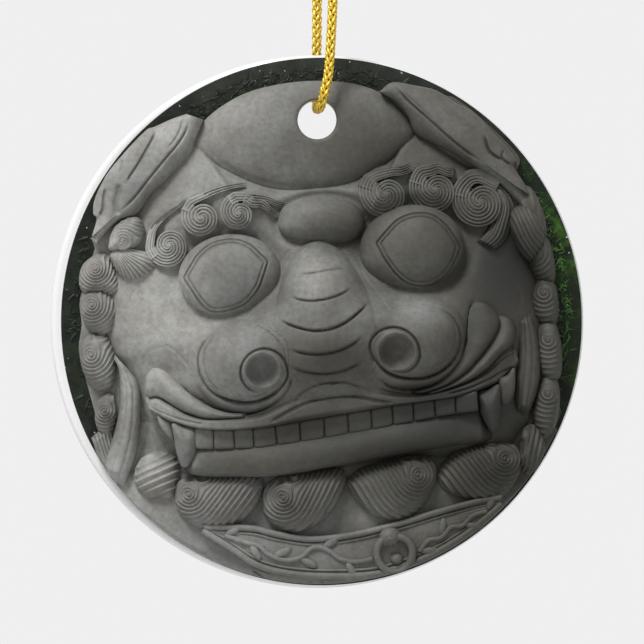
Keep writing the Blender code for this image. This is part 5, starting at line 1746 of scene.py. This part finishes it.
def build_plate():
    def surface(x, z):
        rim = DISC_RADIUS - 0.5 - np.hypot(x, z)
        # The plate, low behind the head's pieces, is darkened evenly with painted shade.
        return 1.3 + 0.25 * smoothstep(rim / 3), hollow_mark(x, 0.25)

    part = ring_shell(LION_OUTLINE, surface, 40, 360, 0.3)
    settle(lined_hole(mesh_of("lion_plate", [part], [STONE, PORCELAIN]), 360), ["lion_plate"])


def build_disc():
    """The porcelain disc with rounded edges, and the glazed ground on its front."""
    curve = bpy.data.curves.new("porcelain_disc", "CURVE")
    curve.dimensions = "2D"
    curve.fill_mode = "BOTH"
    curve.bevel_depth = DISC_EDGE_ROUND * MM
    curve.offset = -DISC_EDGE_ROUND * MM
    curve.bevel_resolution = 5
    curve.extrude = (DISC_THICKNESS / 2 - DISC_EDGE_ROUND) * MM
    for radius, up, count in ((DISC_RADIUS, 0.0, 256), (HOLE_RADIUS, HOLE_UP, 96)):
        spline = curve.splines.new("POLY")
        spline.points.add(count - 1)
        for i, point in enumerate(spline.points):
            turn = TURN * i / count
            point.co = (radius * MM * math.cos(turn), (up + radius * math.sin(turn)) * MM, 0, 1)
        spline.use_cyclic_u = True
    mesh = finished_mesh(linked("porcelain_disc", curve), "porcelain_disc")
    upright = Matrix.Rotation(math.radians(90), 4, "X")
    mesh.transform(Matrix.Translation(Vector((0, DISC_THICKNESS / 2, DISC_Z)) * MM) @ upright)
    mesh.shade_smooth()
    mesh.set_sharp_from_angle(angle=math.radians(50))
    mesh.materials.clear()
    mesh.materials.append(PORCELAIN)
    settle(linked("porcelain_disc", mesh), ["porcelain_disc"])
    edge = GROUND_RADIUS * on_circle(full_turn(180)) + (PICTURE_ACROSS, 0)
    part = ring_shell(edge, lambda x, z: (np.full_like(x, 0.05), {}), 30, 360, -0.05)
    settle(lined_hole(mesh_of("painted_ground", [part], [GROUND, PORCELAIN]), 360), [])


# Cord


def gold_material():
    made, tree, where, _ = new_material("gold_braid")
    glint = noise(tree, where, 5200.0, 2.0, 0.7)
    colour = mix(tree, spread(tree, glint, 0.35, 0.68), (0.52, 0.30, 0.02, 1), (1.0, 0.76, 0.12, 1))
    rough = calc(tree, "ADD", calc(tree, "MULTIPLY", glint, 0.25), 0.22)
    return finish_material(made, colour, rough, glint, 0.4, 0.00006, Metallic=0.75)


def braid_tree():
    """Eight strands that pass over and under each other round a path, four each way."""
    tree, given, result = geometry_tree(
        "braided_cord", Braid_Radius="Float", Strand_Radius="Float", Pitch="Float", Step="Float",
    )
    inputs = {"Curve": given["Geometry"], "Length": given["Step"]}
    path = output(tree, "GeometryNodeResampleCurve", inputs, mode="LENGTH")
    copies = node(tree, "GeometryNodeDuplicateElements", {"Geometry": path, "Amount": 8}, domain="SPLINE").outputs
    inputs = {"Geometry": copies[0], "Name": "number", "Value": copies["Duplicate Index"]}
    lines = output(tree, "GeometryNodeStoreNamedAttribute", inputs, data_type="FLOAT", domain="CURVE")
    index = stored_mark(tree, "number")
    sign = calc(tree, "SUBTRACT", 1.0, calc(tree, "MULTIPLY", calc(tree, "MODULO", index, 2.0), 2.0))
    length = node(tree, "GeometryNodeSplineParameter").outputs["Length"]
    turn = calc(tree, "DIVIDE", calc(tree, "MULTIPLY", length, TURN), given["Pitch"])
    first = calc(tree, "MULTIPLY", calc(tree, "FLOOR", calc(tree, "DIVIDE", index, 2.0)), math.pi / 2)
    angle = calc(tree, "ADD", calc(tree, "MULTIPLY", turn, sign), first)
    over = calc(tree, "MULTIPLY", calc(tree, "COSINE", calc(tree, "MULTIPLY", turn, 4.0)), sign)
    wave = calc(tree, "MULTIPLY", over, calc(tree, "MULTIPLY", given["Strand Radius"], 0.42))
    reach = calc(tree, "ADD", given["Braid Radius"], wave)
    normal = output(tree, "GeometryNodeInputNormal")
    side = vector(tree, "CROSS_PRODUCT", normal, output(tree, "GeometryNodeInputTangent"))
    out = vector(tree, "SCALE", normal, Scale=calc(tree, "MULTIPLY", reach, calc(tree, "COSINE", angle)))
    beside = vector(tree, "SCALE", side, Scale=calc(tree, "MULTIPLY", reach, calc(tree, "SINE", angle)))
    inputs = {"Geometry": lines, "Offset": vector(tree, "ADD", out, beside)}
    moved = output(tree, "GeometryNodeSetPosition", inputs)
    return finish_tree(tree, given, result, tube_of(tree, moved, given["Strand Radius"], 6), smooth=True)


def on_relief(points):
    """Scene points in metres as across, up and out in millimetres."""
    points = np.asarray(points, float) / MM
    return np.stack([points[:, 0], points[:, 2] - DISC_Z, -points[:, 1]], axis=1)


def smooth_route(points, count):
    """Points evenly spaced on a smooth line in space."""
    return smooth_curve(points, count, parts=16, axes=3)


def build_cord():
    braid = braid_tree()
    values = dict(
        Braid_Radius=0.00043, Strand_Radius=0.00021, Pitch=0.0050, Step=0.00017, Surface=gold_material()
    )
    route = smooth_route(CORD_ROUTE, 400)
    cord = grow(path_object("hanging_cord", [on_relief(route)]), braid, "hanging_cord", **values)
    turns = full_turn(160)
    knot = np.stack([
        (np.sin(turns) + 2 * np.sin(2 * turns)) * 0.00048, (np.cos(turns) - 2 * np.cos(2 * turns)) * 0.00048,
        0.0035 - np.sin(3 * turns) * 0.0013,
    ], axis=1)
    lines = [on_relief(knot)]
    for x, y, z in (CORD_ROUTE[0], CORD_ROUTE[-1]):
        entry = [(x, y, z - 0.0002), (x * 0.85, y * 0.85, 0.0022), (x * 0.4, y * 0.4, 0.0038)]
        lines.append(on_relief(smooth_route(entry, 20)))
    for side in (-1, 1):
        tail = np.array([(0.0004, 0, 0.0040), (0.0012, 0.0004, 0.0082), (0.0024, 0.0012, 0.0120)])
        lines.append(on_relief(smooth_route(tail * (side, side, 1), 40)))
    tied = grow(path_object("cord_knot", lines, closed=(0,)), braid, "cord_knot", **values)
    settle(cord, ["hanging_cord"], "cord")
    settle(tied, ["cord_knot"], "cord")


# Foliage on the ground


def foliage_tree():
    """Small blades scattered over a surface, each turned and sized by chance."""
    tree, given, result = geometry_tree("scattered_leaves", Density="Float", Leaf_Length="Float", Seed="Int")
    inputs = {"Mesh": given["Geometry"], "Density": given["Density"], "Seed": given["Seed"]}
    spots = node(tree, "GeometryNodeDistributePointsOnFaces", inputs).outputs["Points"]
    turn, tilt, size = (
        node(tree, "FunctionNodeRandomValue", {"Min": low, "Max": high, "Seed": seed}, data_type="FLOAT").outputs[1]
        for low, high, seed in ((0.0, 6.2832, 5), (-0.25, 0.25, 7), (0.5, 1.25, 9))
    )
    angle = output(tree, "ShaderNodeCombineXYZ", {0: tilt, 1: turn, 2: tilt})
    inputs = {"Vertices": 5, "Side Segments": 2, "Radius Top": 0.0, "Radius Bottom": 0.5, "Depth": 1.0}
    blade = output(tree, "GeometryNodeMeshCone", inputs)
    laid = output(tree, "GeometryNodeTransform", {"Geometry": blade, "Scale": (0.30, 0.16, 1.0)})
    length = calc(tree, "MULTIPLY", size, given["Leaf Length"])
    inputs = {"Points": spots, "Instance": laid, "Rotation": angle, "Scale": length}
    return finish_tree(tree, given, result, output(tree, "GeometryNodeInstanceOnPoints", inputs))


def leaf_material():
    made, tree, where, parts = new_material("leaf_glaze")
    fleck = noise(tree, where, 700.0, 3.0, 0.6)
    right = spread(tree, parts["X"], 0.024, 0.034)
    light = spread(tree, fleck, 0.4, 0.7)
    dark = mix(tree, light, (0.004, 0.007, 0.004, 1), (0.030, 0.042, 0.024, 1))
    lit = lit_green(tree, parts, (0.016, 0.050, 0.008, 1), (0.10, 0.27, 0.035, 1))
    green = mix(tree, light, (0.005, 0.014, 0.003, 1), lit)
    return finish_material(made, mix(tree, right, dark, green), 0.5, fleck, 0.2, 0.00005, Specular_IOR_Level=0.3)


def build_foliage():
    """Low leaves on the ground that shows beside the lion's head."""
    step = 0.5
    cells = np.arange(-36.0, 36.0, step)
    x, z = (grid.ravel() for grid in np.meshgrid(cells, cells))
    share = share_out(LION_OUTLINE, (0.0, 0.0), x, z)
    reach = np.hypot((x - PICTURE_ACROSS) / PICTURE_HALF_WIDTH, z / PICTURE_HALF_HEIGHT)
    free = (share > 1.02) & (reach < LEAF_EDGE)
    middles = np.stack([x[free], z[free]], axis=1)
    square = np.array([(-0.5, -0.5), (0.5, -0.5), (0.5, 0.5), (-0.5, 0.5)]) * step
    corners_x, corners_z = (middles[:, None] + square).reshape(-1, 2).T
    faces = np.arange(len(corners_x)).reshape(-1, 4).tolist()
    bed = mesh_of("foliage", [shell(corners_x, corners_z, np.full(len(corners_x), 0.10), faces)], [])
    leaves = grow(
        bed, foliage_tree(), "foliage", Density=4000000.0, Leaf_Length=0.0013, Seed=3, Surface=leaf_material()
    )
    settle(leaves, [])


# Camera, light and stage

# Each lamp: its name and place, its power in watts and its size in metres
LAMPS = [("key_light", (-0.36, -0.60, 0.86), 12.5, 0.35), ("fill_light", (0.7, -0.9, 0.1), 0.8, 0.8)]
FLOOR_Z = -0.16
FLOOR_HALF = 0.6


def build_stage():
    scene = bpy.context.scene
    scene.view_settings.view_transform = "Standard"
    camera = bpy.data.cameras.new("camera")
    camera.sensor_width = SENSOR_WIDTH
    camera.lens = SENSOR_WIDTH * CAMERA_DISTANCE / VIEW_WIDTH
    scene.camera = linked("camera", camera)
    scene.camera.location = (VIEW_ACROSS * MM, -CAMERA_DISTANCE * MM, (DISC_Z + VIEW_UP) * MM)
    scene.camera.rotation_euler = (math.radians(90), 0, 0)

    floor = bpy.data.meshes.new("floor")
    corners = [(x * FLOOR_HALF, y * FLOOR_HALF, FLOOR_Z) for x, y in ((-1, -1), (1, -1), (1, 1), (-1, 1))]
    floor.from_pydata(corners, [], [(0, 1, 2, 3)])
    made, tree, where, _ = new_material("pale_floor")
    colour = mix(tree, noise(tree, where, 6.0, 2.0), (0.80, 0.80, 0.80, 1), (0.84, 0.84, 0.84, 1))
    floor.materials.append(finish_material(made, colour, 0.7))
    item = linked("floor", floor)

    scene.world = bpy.data.worlds.new("studio")
    scene.world.use_nodes = True
    tree = scene.world.node_tree
    tree.nodes.clear()
    rays = node(tree, "ShaderNodeLightPath").outputs
    seen = calc(tree, "MAXIMUM", rays["Is Glossy Ray"], rays["Is Transmission Ray"])
    seen = calc(tree, "MAXIMUM", rays["Is Camera Ray"], seen)
    light = node(tree, "ShaderNodeBackground", {"Color": (0.96, 0.98, 1.0, 1), "Strength": 0.24})
    backdrop = node(tree, "ShaderNodeBackground", {"Color": (0.866, 0.866, 0.866, 1)})
    both = node(tree, "ShaderNodeMixShader", {0: seen, 1: light.outputs[0], 2: backdrop.outputs[0]})
    node(tree, "ShaderNodeOutputWorld", {0: both.outputs[0]})

    aim = Vector((0, 0, -0.085))
    for name, place, power, size in LAMPS:
        lamp = bpy.data.lights.new(name, "AREA")
        lamp.energy, lamp.size = power, size
        item = linked(name, lamp)
        item.location = place
        item.rotation_euler = (aim - Vector(place)).to_track_quat("-Z", "Y").to_euler()


build_stage()
build_cord()
build_disc()
build_plate()
build_chest()
build_face()
build_eyes()
build_knob()
build_forehead()
build_mouth()
build_hair()
build_locks()
build_ears()
build_collar()
build_foliage()
